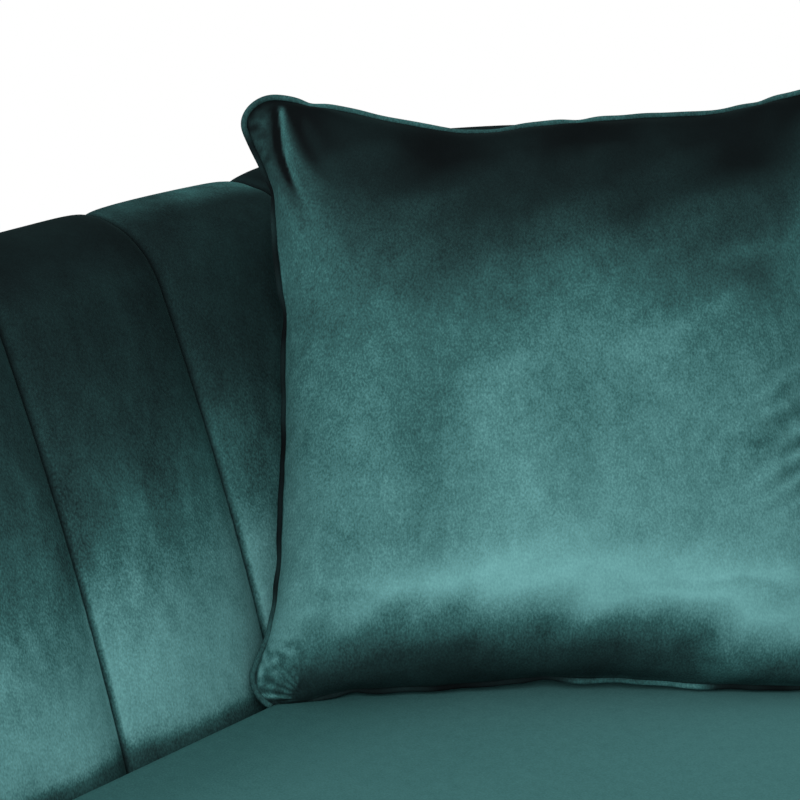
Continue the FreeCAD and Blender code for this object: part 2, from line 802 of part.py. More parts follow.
def pillow_half(inset, drop, low):
    """Front half of the pillow, crowned; inset and drop make the smaller forms inside it."""
    half = size("pillow_side") / 2 - inset
    draw = size("pillow_draw")
    ear = size("pillow_ear")
    full = size("pillow_half") - drop
    rows = [(1.0, draw, ear, low), (0.82, 0.3 * draw, 3 * ear, 0.47 * full),
            (0.5, -0.5 * draw, 4.4 * ear, 0.86 * full), (0.1, -0.15 * draw, 0.9 * ear, full)]
    wires = []
    for share, pull, turn, z in rows:
        wires.append(pillow_wire(half * share, pull, min(turn, 0.64 * half * share), z))
    return Part.makeLoft(wires, True, False)


flip = FreeCAD.Rotation(V(0, 1, 0), 180)
panel_out = pillow_half(0.0, 0.0, gap / 2)
panel_in = pillow_half(cloth, cloth, gap / 2)
pillow_panel = panel_out.cut(panel_in)
insert_half = pillow_half(cloth + gap, cloth + gap, 0.0)
insert_rear = insert_half.copy()
insert_rear.Placement = FreeCAD.Placement(V(0, 0, 0), flip)
pillow_insert = insert_half.fuse(insert_rear).removeSplitter()
cord = size("piping_size") / 2
cord_path = pillow_wire(size("pillow_side") / 2 + cord + gap, size("pillow_draw"), size("pillow_ear") + cord + gap, 0)
cord_start = cord_path.Edges[0].Vertexes[0].Point
cord_tangent = cord_path.Edges[0].tangentAt(cord_path.Edges[0].FirstParameter)
cord_ring = Part.Wire(Part.makeCircle(cord, cord_start, cord_tangent))
pillow_cord = cord_path.makePipeShell([cord_ring], True, False)


def seat_under(spot):
    """Height of the seat's crown under a point."""
    probe = Part.LineSegment(V(spot.x, spot.y, border_low), V(spot.x, spot.y, 2 * seat_level)).toShape()
    hit = crown_out.common(probe)
    return hit.BoundBox.ZMax if hit.Edges else border_high


def pillow_place(sense):
    """Placement of a pillow whose lower ears stand beside both walls: sense is -1 left and 1 right."""
    turn = math.radians(size("pillow_turn"))
    lean = math.radians(size("pillow_lean"))
    wide = V(math.cos(turn), -sense * math.sin(turn), 0)
    face = V(-sense * math.sin(turn), -math.cos(turn), 0)
    tall = face * -math.sin(lean) + UP * math.cos(lean)
    front = wide.cross(tall)
    reach = size("pillow_side") / 2
    foot = V(sense * (inner_half - size("pillow_in") - reach * math.cos(turn)),
             back_line - size("pillow_fore") - reach * math.sin(turn), seat_level)
    place = FreeCAD.Placement(foot + tall * reach, FreeCAD.Rotation(wide, tall, front, "XYZ"))
    lower = [place.multVec(spot) for spot in cord_path.discretize(160) if spot.y < 0]
    lift = max(seat_under(spot) + cord - spot.z for spot in lower)
    place.Base += UP * (lift + size("pillow_rise"))
    return place


for side, sense in (("left", -1), ("right", 1)):
    place = pillow_place(sense)
    feature(side + "_pillow_front", pillow_panel, place)
    feature(side + "_pillow_back", pillow_panel, place.multiply(FreeCAD.Placement(V(0, 0, 0), flip)))
    feature(side + "_pillow_insert", pillow_insert, place)
    feature(side + "_pillow_piping", pillow_cord, place)

# Every object must have come out whole before anything is written.
doc.recompute()
for item in doc.Objects:
    if "Invalid" in item.State or "Error" in item.State:
        raise RuntimeError("failed object: " + item.Name)
for item in piece_list:
    if item.Shape.isNull() or not item.Shape.isValid():
        raise RuntimeError("bad shape: " + item.Label)
    if not item.Shape.Solids or any(solid.Volume <= 0 for solid in item.Shape.Solids):
        raise RuntimeError("no solid: " + item.Label)

os.makedirs("parts", exist_ok=True)
for item in piece_list:
    item.Shape.exportStep("parts/%s.step" % item.Label)
print(len(piece_list), "sub-parts; wall out", round(wall.out, 2), "crest", round(wall.crest[1], 2))
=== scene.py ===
"""Looks of a channel tufted velvet sofa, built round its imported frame.

Lengths are metres. +X runs right along the seat, +Y towards the back and +Z up.
"""
import json
import logging
import math
from collections.abc import Iterator
from dataclasses import dataclass, field
from enum import Enum

import bmesh
import bpy
import numpy as np
from mathutils import Matrix, Vector, noise


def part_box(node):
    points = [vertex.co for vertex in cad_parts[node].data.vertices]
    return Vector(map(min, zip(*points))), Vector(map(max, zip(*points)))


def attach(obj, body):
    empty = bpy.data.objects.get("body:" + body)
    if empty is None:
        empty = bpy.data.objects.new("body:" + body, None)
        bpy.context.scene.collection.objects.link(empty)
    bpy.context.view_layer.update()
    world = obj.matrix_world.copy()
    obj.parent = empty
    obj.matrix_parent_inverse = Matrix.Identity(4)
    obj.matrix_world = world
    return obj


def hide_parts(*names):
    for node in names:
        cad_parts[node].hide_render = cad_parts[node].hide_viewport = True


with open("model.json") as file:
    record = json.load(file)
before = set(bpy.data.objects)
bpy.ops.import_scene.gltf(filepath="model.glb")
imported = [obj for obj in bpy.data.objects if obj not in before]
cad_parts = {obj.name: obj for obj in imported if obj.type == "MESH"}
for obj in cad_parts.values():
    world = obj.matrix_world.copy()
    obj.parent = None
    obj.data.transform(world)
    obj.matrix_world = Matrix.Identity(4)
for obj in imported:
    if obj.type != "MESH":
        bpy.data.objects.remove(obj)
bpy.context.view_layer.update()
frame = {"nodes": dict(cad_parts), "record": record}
LOG = logging.getLogger("sofa")
Array = np.ndarray
Socket = bpy.types.NodeSocket
Thing = bpy.types.Object
Tree = bpy.types.NodeTree
Faces = list[tuple[int, ...]]
Pair = tuple[float, float]
Triple = tuple[float, float, float]


# Numbers and grids of points
def smooth(low: float, high: float, value: Array) -> Array:
    """Smooth step from 0 at low to 1 at high, which may be below low for a falling step."""
    part = np.clip((np.asarray(value) - low) / (high - low), 0.0, 1.0)
    return part * part * (3 - 2 * part)


def between(ends: Pair, part: Array) -> Array:
    """Numbers between two ends by a share."""
    return ends[0] + part * (ends[1] - ends[0])


def bunched(count: int) -> Array:
    """Places from 0 to 1, closer together at both ends."""
    return 0.5 - 0.5 * np.cos(np.linspace(0, math.pi, count))


def edge_drop(radius: float, away: Array) -> Array:
    """How far a face falls at a distance from its rounded edge."""
    return radius - np.sqrt(np.maximum(0.0, radius ** 2 - np.maximum(0.0, radius - away) ** 2))


def spots(*axes: Array) -> Array:
    """Points from their coordinates, which may be of different shapes that fit each other."""
    return np.stack(np.broadcast_arrays(*axes), axis=-1)


def at_height(plane: Array, height: Array) -> Array:
    """Points in space from points of a plane and their heights."""
    return spots(plane[..., 0], plane[..., 1], height)


def lumps(points: Array, size: float, seed: float) -> Array:
    """Smooth noise at points.

    Args:
        points: array of any shape whose last axis holds x, y, z.
        size: distance over which the noise changes.
        seed: shift that gives another field.

    Returns:
        Numbers from about -1 to 1, in the shape of points without the last axis.
    """
    flat = points.reshape(-1, 3) / size + (seed * 7.31, seed * 3.17, seed * 5.77)
    return np.array([noise.noise(Vector(spot)) for spot in flat]).reshape(points.shape[:-1])


def round_corners(x: Array, y: Array, half: Pair, radius: Array) -> tuple[Array, Array]:
    """Grid over a rectangle about the origin, moved so that its corners are round.

    Args:
        x: places across.
        y: places along.
        half: half the rectangle's width and length.
        radius: radius of the corner that each point is nearest to.

    Returns:
        The new places across and along.
    """
    over_x = np.clip((np.abs(x) - half[0] + radius) / radius, 0, 1)
    over_y = np.clip((np.abs(y) - half[1] + radius) / radius, 0, 1)
    corner = (over_x > 0) & (over_y > 0)
    new_x = np.sign(x) * (half[0] - radius + radius * over_x * np.sqrt(1 - over_y ** 2 / 2))
    new_y = np.sign(y) * (half[1] - radius + radius * over_y * np.sqrt(1 - over_x ** 2 / 2))
    return np.where(corner, new_x, x), np.where(corner, new_y, y)


def grid_faces(rows: int, columns: int, first: int = 0, flip: bool = False) -> Faces:
    """Quads of a grid of points.

    Args:
        rows: points along the slow axis.
        columns: points along the fast axis.
        first: index of the grid's first point.
        flip: turn the faces over.

    Returns:
        One tuple of four indices per quad.
    """
    corners = [first + row * columns + column for row in range(rows - 1) for column in range(columns - 1)]
    quads = [(corner, corner + 1, corner + columns + 1, corner + columns) for corner in corners]
    return [quad[::-1] for quad in quads] if flip else quads


def rim_faces(loop: list[int], other: list[int]) -> Faces:
    """Quads between two closed loops of points of the same length."""
    count = len(loop)
    return [(loop[i], loop[(i + 1) % count], other[(i + 1) % count], other[i]) for i in range(count)]


def grid_rim(rows: int, columns: int, first: int = 0) -> list[int]:
    """Indices round the edge of a grid, in order.

    Args:
        rows: points along the slow axis.
        columns: points along the fast axis.
        first: index of the grid's first point.

    Returns:
        Indices of a closed loop.
    """
    index = first + np.arange(rows * columns).reshape(rows, columns)
    sides = index[0], index[1:, -1], index[-1, -2::-1], index[-2:0:-1, 0]
    return np.concatenate(sides).tolist()


def shell_of(front: Array, rear: Array) -> tuple[Array, Faces]:
    """Closed mesh between two grids of points of the same shape.

    Args:
        front: grid of points, rows by columns by 3, whose faces look out.
        rear: grid behind it.

    Returns:
        Points and faces.
    """
    rows, columns = front.shape[:2]
    count = rows * columns
    faces = grid_faces(rows, columns) + grid_faces(rows, columns, count, flip=True)
    faces += rim_faces(grid_rim(rows, columns, count), grid_rim(rows, columns))
    return np.concatenate([front.reshape(-1, 3), rear.reshape(-1, 3)]), faces


# Pieces
def make_piece(name: str, points: Array, faces: Faces, pile_and_painted_light: Array | None = None, closed: bool = True
               ) -> Thing:
    """Smooth mesh object in the row frame.

    Args:
        name: piece name.
        points: corners, one row each.
        faces: tuples of indices.
        pile_and_painted_light: tone at each point, from 0, dark, to 1, light: painted light and shade of the
            pile, with random streaks.
        closed: turn the faces outward, for a mesh without an edge.

    Returns:
        The linked object.
    """
    mesh = bpy.data.meshes.new(name)
    mesh.from_pydata(points.tolist(), [], faces)
    mesh.validate()
    mesh.polygons.foreach_set("use_smooth", [True] * len(mesh.polygons))
    if pile_and_painted_light is not None:
        layer = mesh.attributes.new("pile_and_painted_light", "FLOAT", "POINT")
        layer.data.foreach_set("value", pile_share(pile_and_painted_light).astype(np.float32).ravel())
    if closed:
        work = bmesh.new()
        work.from_mesh(mesh)
        bmesh.ops.recalc_face_normals(work, faces=work.faces)
        work.to_mesh(mesh)
        work.free()
    piece = bpy.data.objects.new(name, mesh)
    bpy.context.scene.collection.objects.link(piece)
    return piece


def settle(piece: Thing, body: str, nodes: list[str], finish: "Finish") -> None:
    """Dress a piece and tie it to the frame.

    Args:
        piece: finished object.
        body: CAD body that it moves with.
        nodes: CAD nodes that it stands for.
        finish: its finish.
    """
    piece.data.materials.clear()
    piece.data.materials.append(finish.material())
    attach(piece, body)
    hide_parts(*nodes)
    LOG.info("%s: %d faces on %s", piece.name, len(piece.data.polygons), body)


# Shader building
class Nodes:
    """Short hand for filling a node tree."""

    def __init__(self, tree: Tree) -> None:
        """Keep the tree that is filled."""
        self.tree = tree

    def add(self, kind: str, values: dict | None = None, **settings: object) -> bpy.types.Node:
        """Add a node.

        Args:
            kind: node type, without the words that all types start with.
            values: input name or number to a value, or to a socket that is linked to it.
            settings: node properties.

        Returns:
            The node.
        """
        node = self.tree.nodes.new("ShaderNode" + kind)
        for name, value in settings.items():
            setattr(node, name, value)
        for key, value in (values or {}).items():
            if isinstance(value, Socket):
                self.tree.links.new(value, node.inputs[key])
            else:
                node.inputs[key].default_value = value
        return node

    def math(self, operation: str, *values: float | Socket, clamp: bool = False) -> Socket:
        """Result of a Math node on numbers or sockets."""
        node = self.add("Math", dict(enumerate(values)), operation=operation, use_clamp=clamp)
        return node.outputs[0]

    def scaled(self, value: Socket, factor: float, start: float = 0.0) -> Socket:
        """Value times a factor, counted from a start."""
        product = self.math("MULTIPLY", value, factor)
        return self.math("ADD", start, product) if start else product

    def mix(self, share: Socket, first: Socket, second: Socket) -> Socket:
        """Colour between two colours by a share."""
        return self.add("Mix", {0: share, 6: first, 7: second}, data_type="RGBA").outputs[2]

    def noise(self, stretch: Triple, scale: float | Socket, detail: float = 2.0,
              rough: float = 0.5) -> Socket:
        """Noise that stays with the piece, from 0 to 1.

        Args:
            stretch: factors on the coordinates.
            scale: number or socket, changes per metre.
            detail: octaves.
            rough: weight of the finer octaves.

        Returns:
            The noise.
        """
        values = {"Vector": self.place(stretch), "Scale": scale, "Detail": detail, "Roughness": rough}
        return self.add("TexNoise", values).outputs["Fac"]

    def place(self, stretch: Triple = (1, 1, 1)) -> Socket:
        """Coordinates that stay with the piece, stretched."""
        coords = self.add("TexCoord").outputs["Object"]
        return self.add("Mapping", {"Vector": coords, "Scale": stretch}).outputs[0]


class Group:
    """Shader node group that puts out a colour, a roughness and a height."""

    def __init__(self, name: str, colours: tuple[str, ...], numbers: tuple[str, ...]) -> None:
        """Make the group and its sockets.

        Args:
            name: group name.
            colours: names of its colour inputs.
            numbers: names of its number inputs.
        """
        self.tree = bpy.data.node_groups.new(name, "ShaderNodeTree")
        sockets = [(key, "INPUT", "Color") for key in colours] + [(key, "INPUT", "Float") for key in numbers]
        sockets += [("Colour", "OUTPUT", "Color")]
        sockets += [(key, "OUTPUT", "Float") for key in ("Roughness", "Height")]
        for key, way, kind in sockets:
            self.tree.interface.new_socket(key, in_out=way, socket_type="NodeSocket" + kind)
        self.nodes = Nodes(self.tree)
        self.inputs = self.tree.nodes.new("NodeGroupInput").outputs

    def give(self, *results: Socket) -> Tree:
        """Send the colour, the roughness and the height to the group's outputs.

        Args:
            results: the three sockets.

        Returns:
            The finished group.
        """
        outputs = self.tree.nodes.new("NodeGroupOutput").inputs
        for socket, end in zip(results, outputs):
            self.tree.links.new(socket, end)
        return self.tree


def velvet_group(name: str) -> Tree:
    """Velvet pile: painted light and shade from the mesh's attribute, laid between a shaded and a lit colour,
    with brushed patches, mottles and grain, least where it is sure.

    Args:
        name: group name.

    Returns:
        The group.
    """
    group = Group(name, ("Shaded", "Mid", "Bright"), ("Patch Scale", "Patch", "Mottle", "Grain"))
    n = group.nodes
    # painted light and shade of the pile, set at each point by the piece that is built
    pile_and_painted_light = n.add("Attribute", attribute_name="pile_and_painted_light").outputs["Fac"]
    brushed = n.noise((1, 1, 0.45), group.inputs["Patch Scale"], 3.0, 0.6)
    mottled = n.noise((1, 1, 0.7), 95.0, 2.0, 0.6)
    grain = n.noise((1, 1, 0.6), 780.0, 1.0, 0.5)
    near = n.math("MULTIPLY", n.math("MULTIPLY", pile_and_painted_light, n.math("SUBTRACT", 1.0, pile_and_painted_light)), 4.0, clamp=True)
    unsure = n.math("ADD", n.scaled(n.math("POWER", near, 2.0), 0.55), n.scaled(pile_and_painted_light, 0.25, 0.03))
    tone = pile_and_painted_light
    for field_of, amount in ((brushed, "Patch"), (mottled, "Mottle"), (grain, "Grain")):
        swing = n.math("MULTIPLY", n.math("SUBTRACT", field_of, 0.5), group.inputs[amount])
        tone = n.math("ADD", tone, n.math("MULTIPLY", swing, unsure))
    lower = n.math("MULTIPLY", tone, 2.0, clamp=True)
    upper = n.math("SUBTRACT", n.math("MULTIPLY", tone, 2.0), 1.0, clamp=True)
    # the tone runs from the shaded colour through the middle one to the lit one
    colour = n.mix(lower, group.inputs["Shaded"], group.inputs["Mid"])
    colour = n.mix(upper, colour, group.inputs["Bright"])
    lit = n.add("Gamma", {"Color": colour, "Gamma": PILE_GAMMA}).outputs[0]
    return group.give(lit, n.scaled(grain, 0.2, 0.72), grain)


def grain_group(name: str) -> Tree:
    """Wood grain along X: rings drawn out into streaks, with pores.

    Args:
        name: group name.

    Returns:
        The group.
    """
    group = Group(name, ("Light", "Dark"), ("Rings",))
    n = group.nodes
    wander = n.noise((2, 14, 14), 1.0, 3.0)
    rings = n.math("FRACT", n.math("MULTIPLY", wander, n.scaled(group.inputs["Rings"], 0.12)))
    pores = n.noise((40, 900, 900), 1.0)
    share = n.math("ADD", n.scaled(rings, 0.7), n.scaled(pores, 0.3), clamp=True)
    colour = n.mix(share, group.inputs["Light"], group.inputs["Dark"])
    return group.give(colour, n.scaled(share, 0.2, 0.55), share)


def weave_group(name: str) -> Tree:
    """Plain weave: two sets of threads that cross, with slubs.

    Args:
        name: group name.

    Returns:
        The group.
    """
    group = Group(name, ("Thread", "Shade"), ("Count",))
    n = group.nodes
    values = {"Vector": n.place(), "Scale": group.inputs["Count"], "Distortion": 0.4, "Detail": 0.0}
    waves = [n.add("TexWave", values, bands_direction=axis).outputs["Fac"] for axis in ("X", "Y")]
    threads = n.math("MAXIMUM", *waves)
    slubs = n.noise((1, 1, 1), 60.0, 3.0)
    share = n.math("MULTIPLY", threads, n.scaled(slubs, 0.6, 0.6), clamp=True)
    colour = n.mix(share, group.inputs["Shade"], group.inputs["Thread"])
    return group.give(colour, n.scaled(share, -0.15, 0.95), threads)


def brushed_group(name: str) -> Tree:
    """Turned or brushed metal: fine rings round the piece and handling marks.

    Args:
        name: group name.

    Returns:
        The group.
    """
    group = Group(name, ("Metal", "Worn"), ("Gloss",))
    n = group.nodes
    rings = n.noise((6, 6, 1400), 1.0)
    marks = n.noise((1, 1, 1), 45.0, 4.0, 0.65)
    colour = n.mix(n.math("MULTIPLY", marks, rings), group.inputs["Metal"], group.inputs["Worn"])
    rough = n.math("ADD", group.inputs["Gloss"], n.scaled(marks, 0.14))
    return group.give(colour, n.math("ADD", rough, n.scaled(rings, 0.06)), rings)


def speckle_group(name: str) -> Tree:
    """Small cells with dust: foam and moulded plastic.

    Args:
        name: group name.

    Returns:
        The group.
    """
    group = Group(name, ("Base", "Spot"), ("Cells",))
    n = group.nodes
    cells = n.noise((1, 1, 1), group.inputs["Cells"], 3.0, 0.6)
    colour = n.mix(cells, group.inputs["Base"], group.inputs["Spot"])
    return group.give(colour, n.scaled(cells, 0.3, 0.6), cells)


class Surface(Enum):
    """Kinds of surface, each with the group that makes it."""

    VELVET = "velvet_pile"
    WOOD = "wood_grain"
    WEAVE = "plain_weave"
    METAL = "brushed_metal"
    SPECKLE = "speckle"

    def group(self) -> Tree:
        """Group of this kind, made on first use.

        Returns:
            The group.
        """
        makers = {
            Surface.VELVET: velvet_group,
            Surface.WOOD: grain_group,
            Surface.WEAVE: weave_group,
            Surface.METAL: brushed_group,
            Surface.SPECKLE: speckle_group,
        }
        return bpy.data.node_groups.get(self.value) or makers[self](self.value)


@dataclass(frozen=True)
class Finish:
    """One finish of the sofa: a surface group with the values of its inputs, and the shader's own sockets."""

    name: str
    surface: Surface
    values: tuple
    bump: float = 0.2
    shader: dict[str, object] = field(default_factory=dict)
    relief: float = 0.0004

    def material(self) -> bpy.types.Material:
        """Material of this finish, made on first use.

        Returns:
            The material.
        """
        known = bpy.data.materials.get(self.name)
        if known:
            return known
        made = bpy.data.materials.new(self.name)
        made.use_nodes = True
        nodes = Nodes(made.node_tree)
        shader = made.node_tree.nodes["Principled BSDF"]
        detail = nodes.add("Group", node_tree=self.surface.group())
        settings = list(zip(detail.inputs, self.values))
        settings += [(shader.inputs[key], value) for key, value in self.shader.items()]
        for socket, value in settings:
            socket.default_value = (*value, 1.0) if isinstance(value, tuple) else value
        height = {"Strength": self.bump, "Distance": self.relief, "Height": detail.outputs["Height"]}
        link = made.node_tree.links.new
        link(detail.outputs["Colour"], shader.inputs["Base Color"])
        link(detail.outputs["Roughness"], shader.inputs["Roughness"])
        link(nodes.add("Bump", height).outputs[0], shader.inputs["Normal"])
        return made


# Shaded, middle and lit colours of the teal pile, between which the painted light and shade runs, on a scale
# that is even to the eye
PILE_GAMMA = 2.2
PILE_SHADED_TO_LIT = ((0.0813, 0.0947, 0.0992), (0.2207, 0.3741, 0.3741), (0.4756, 0.7061, 0.7108))
PILE_TONES = (0.0, 0.5, 1.0)
NAP_SHEEN = {
    "Sheen Weight": 0.02,
    "Sheen Roughness": 0.30,
    "Sheen Tint": (0.50, 0.86, 0.84),
    "Specular IOR Level": 0.0,
}


def pile_share(tone: Array) -> Array:
    """Place of tones on the pile's scale, which is even to the eye.

    Args:
        tone: tones that are even in light.

    Returns:
        Numbers from 0 to 1.
    """
    scale = np.array([green for _, green, _ in PILE_SHADED_TO_LIT])
    lit = np.interp(tone, PILE_TONES, scale ** PILE_GAMMA)
    return np.interp(lit ** (1 / PILE_GAMMA), scale, PILE_TONES)


def velvet(name: str, patch_scale: float, patch: float, mottle: float, grain: float) -> Finish:
    """Teal velvet with its own patches, mottles and grain."""
    return Finish(name, Surface.VELVET, (*PILE_SHADED_TO_LIT, patch_scale, patch, mottle, grain), shader=NAP_SHEEN)


METALLIC = {"Metallic": 1.0}
VELVET = velvet("teal_velvet", 17.0, 0.85, 0.32, 0.72)
COVER_VELVET = velvet("teal_cover_velvet", 6.0, 0.45, 0.12, 0.45)
PILLOW_VELVET = velvet("teal_pillow_velvet", 14.0, 0.50, 0.30, 0.62)
SEAT_VELVET = velvet("teal_seat_velvet", 4.0, 0.10, 0.08, 0.20)
HARDWOOD = Finish("beech_rails", Surface.WOOD, ((0.56, 0.39, 0.23), (0.36, 0.22, 0.11), 60.0), 0.15)
PLYWOOD = Finish("birch_plywood", Surface.WOOD, ((0.66, 0.50, 0.32), (0.52, 0.36, 0.20), 110.0), 0.1)
WEBBING = Finish("elastic_webbing", Surface.WEAVE, ((0.10, 0.065, 0.04), (0.03, 0.02, 0.012), 420.0), 0.6)
LINING = Finish("black_lining", Surface.WEAVE, ((0.030, 0.030, 0.031), (0.008, 0.008, 0.009), 900.0), 0.4)
BRASS = Finish("brushed_brass", Surface.METAL, ((0.68, 0.46, 0.19), (0.52, 0.33, 0.12), 0.22), 0.05, METALLIC)
STEEL = Finish("zinc_steel", Surface.METAL, ((0.55, 0.56, 0.58), (0.38, 0.39, 0.41), 0.34), 0.05, METALLIC)
GLIDE = Finish("moulded_glide", Surface.SPECKLE, ((0.02, 0.02, 0.02), (0.04, 0.04, 0.04), 700.0), 0.1)
FOAM = Finish("seat_foam", Surface.SPECKLE, ((0.78, 0.72, 0.52), (0.62, 0.55, 0.36), 600.0), 0.5)
FIBRE = Finish("fibre_ticking", Surface.WEAVE, ((0.86, 0.86, 0.83), (0.62, 0.62, 0.60), 1000.0), 0.3)


# The channelled wall
@dataclass(frozen=True)
class Wall:
    """Plan and section of the channelled wall: u is outward from the seam line at the seat, z is up."""

    pitch: float = 0.162
    back_count: int = 9
    arm_count: int = 3
    corner_count: int = 3
    corner: float = 0.107
    edge: float = 0.018
    crown: float = 0.022
    corner_fade: float = 0.5
    tail_edge: float = 0.008
    tail_crown: float = 0.008
    lean: float = math.radians(16)
    foot_sweep: float = 0.200
    sweep: float = 2.0
    roll: float = 0.057
    tail: float = 0.034
    tail_length: float = 0.030
    roll_start: float = 0.288
    lean_rise: float = 0.055
    foot_level: float = 0.300
    seat_level: float = 0.450
    leg_height: float = 0.150
    cover_foot: float = 0.100
    cover_head: float = 0.011
    cover_thick: float = 0.004
    facing: float = 0.030
    gap: float = 0.0003

    @property
    def back_half(self) -> float:
        """Half the straight run of the back."""
        return self.pitch * self.back_count / 2

    @property
    def arm_run(self) -> float:
        """Straight run of an arm."""
        return self.pitch * self.arm_count

    @property
    def inner_half(self) -> float:
        """Seam line of an arm, from the middle."""
        return self.back_half + self.corner

    @property
    def foot_z(self) -> float:
        """Height at which the wall starts to lean."""
        return self.seat_level - self.lean_rise

    @property
    def lean_high(self) -> float:
        """Lean at the start of the roll."""
        start = self.foot_z + self.foot_sweep * math.sin(self.lean)
        return math.asin(math.sin(self.lean) + (self.seat_level + self.roll_start - start) / self.sweep)

    def arcs(self) -> list[tuple[Pair, float, float, float]]:
        """Arcs of the frame line: its foot, its sweep and its roll.

        Returns:
            Centre, radius, first and last lean of each.
        """
        found = []
        spot = (self.edge, self.foot_z)
        leans = (0.0, self.lean, self.lean_high, math.pi / 2)
        for radius, first, last in zip((self.foot_sweep, self.sweep, self.roll), leans, leans[1:]):
            centre = (spot[0] + radius * math.cos(first), spot[1] - radius * math.sin(first))
            found.append((centre, radius, first, last))
            spot = (centre[0] - radius * math.cos(last), centre[1] + radius * math.sin(last))
        return found

    @property
    def crest(self) -> Pair:
        """Top of the frame line."""
        centre, radius, _, _ = self.arcs()[-1]
        return centre[0], centre[1] + radius

    @property
    def tail_z(self) -> float:
        """Lower end of the pads on the outside."""
        return self.crest[1] - self.tail - self.tail_length

    @property
    def out(self) -> float:
        """How far the pads stand out from the seam line."""
        return self.crest[0] + self.tail + self.tail_edge + self.tail_crown

    @property
    def depth(self) -> float:
        """Depth of the whole sofa."""
        return self.corner + self.arm_run + self.gap + self.facing + self.out

    @property
    def back_line(self) -> float:
        """Seam line of the back."""
        return self.depth / 2 - self.out

    @property
    def axis_y(self) -> float:
        """Where the corners' axes stand."""
        return self.back_line - self.corner

    def cover_u(self, z: Array) -> Array:
        """Outer face of the outside cover at a height."""
        head = self.crest[0] + self.tail + self.cover_head
        return between((self.cover_foot, head), (z - self.leg_height) / (self.tail_z - self.leg_height))

    def line(self, counts: tuple[int, ...] = (8, 9, 34, 20, 16, 5)) -> Array:
        """Points of the frame line from the foot over the crest to the tail.

        Args:
            counts: points on the foot, its arc, the sweep, the roll, the tail's turn and its end.

        Returns:
            Rows of u, z, how much a unit of pad moves the point in u and in z, how much a unit of the
            tail's pad moves it in u, and how far the crown has faded towards the crest.
        """
        foot = np.linspace(self.foot_level, self.foot_z, counts[0])
        rows = [(self.edge, z, -1.0, 0.0, 0.0, 0.0) for z in foot]
        for (centre, radius, first, last), count in zip(self.arcs(), counts[1:]):
            for lean in np.linspace(first, last, count + 1)[1:]:
                c, s = math.cos(lean), math.sin(lean)
                fade = max(0.0, (lean - self.lean_high) / (math.pi / 2 - self.lean_high))
                rows.append((centre[0] - radius * c, centre[1] + radius * s, -c, s, 0.0, fade))
        centre = (self.crest[0], self.crest[1] - self.tail)
        for turn in np.linspace(0, math.pi / 2, counts[4] + 1)[1:]:
            s, c = math.sin(turn), math.cos(turn)
            rows.append((centre[0] + self.tail * s, centre[1] + self.tail * c, 0.0, c, s, 1.0))
        for z in np.linspace(centre[1], self.tail_z, counts[5] + 1)[1:]:
            rows.append((centre[0] + self.tail, z, 0.0, 0.0, 1.0, 1.0))
        return np.array(rows)


class Side(Enum):
    """Stretch of the wall, with the turn of its own axes about the vertical in degrees."""

    BACK = 90
    LEFT = 180
    RIGHT = 0

    def node(self, piece: str) -> str:
        """Name of this side's piece."""
        return self.name.lower() + "_" + piece

    def world(self, wall: Wall, local: Array) -> Array:
        """Points of the row frame from points of this stretch's own axes.

        Args:
            wall: the wall's sizes.
            local: x outward from the corner's axis, y along, z up.

        Returns:
            Array of the same shape.
        """
        turn = math.radians(self.value)
        c, s = math.cos(turn), math.sin(turn)
        shift = {Side.BACK: 0.0, Side.LEFT: -wall.back_half, Side.RIGHT: wall.back_half}[self]
        x, y, z = (local[..., i] for i in range(3))
        return spots(x * c - y * s + shift, x * s + y * c + wall.axis_y, z)


@dataclass(frozen=True)
class Channel:
    """One channel of the wall: where it runs, and what differs from its first to its last seam.

    A channel round a corner starts at an angle in degrees and has its width in degrees.
    """

    name: str
    side: Side
    start: float
    width: float
    seed: int
    bent: bool
    lift: Pair
    # painted highlight along the crest, and how much higher the painted light low on the wall reaches, at the
    # first and the last seam
    light: Pair = (0.0, 0.0)
    lead: Pair = (0.0, 0.0)


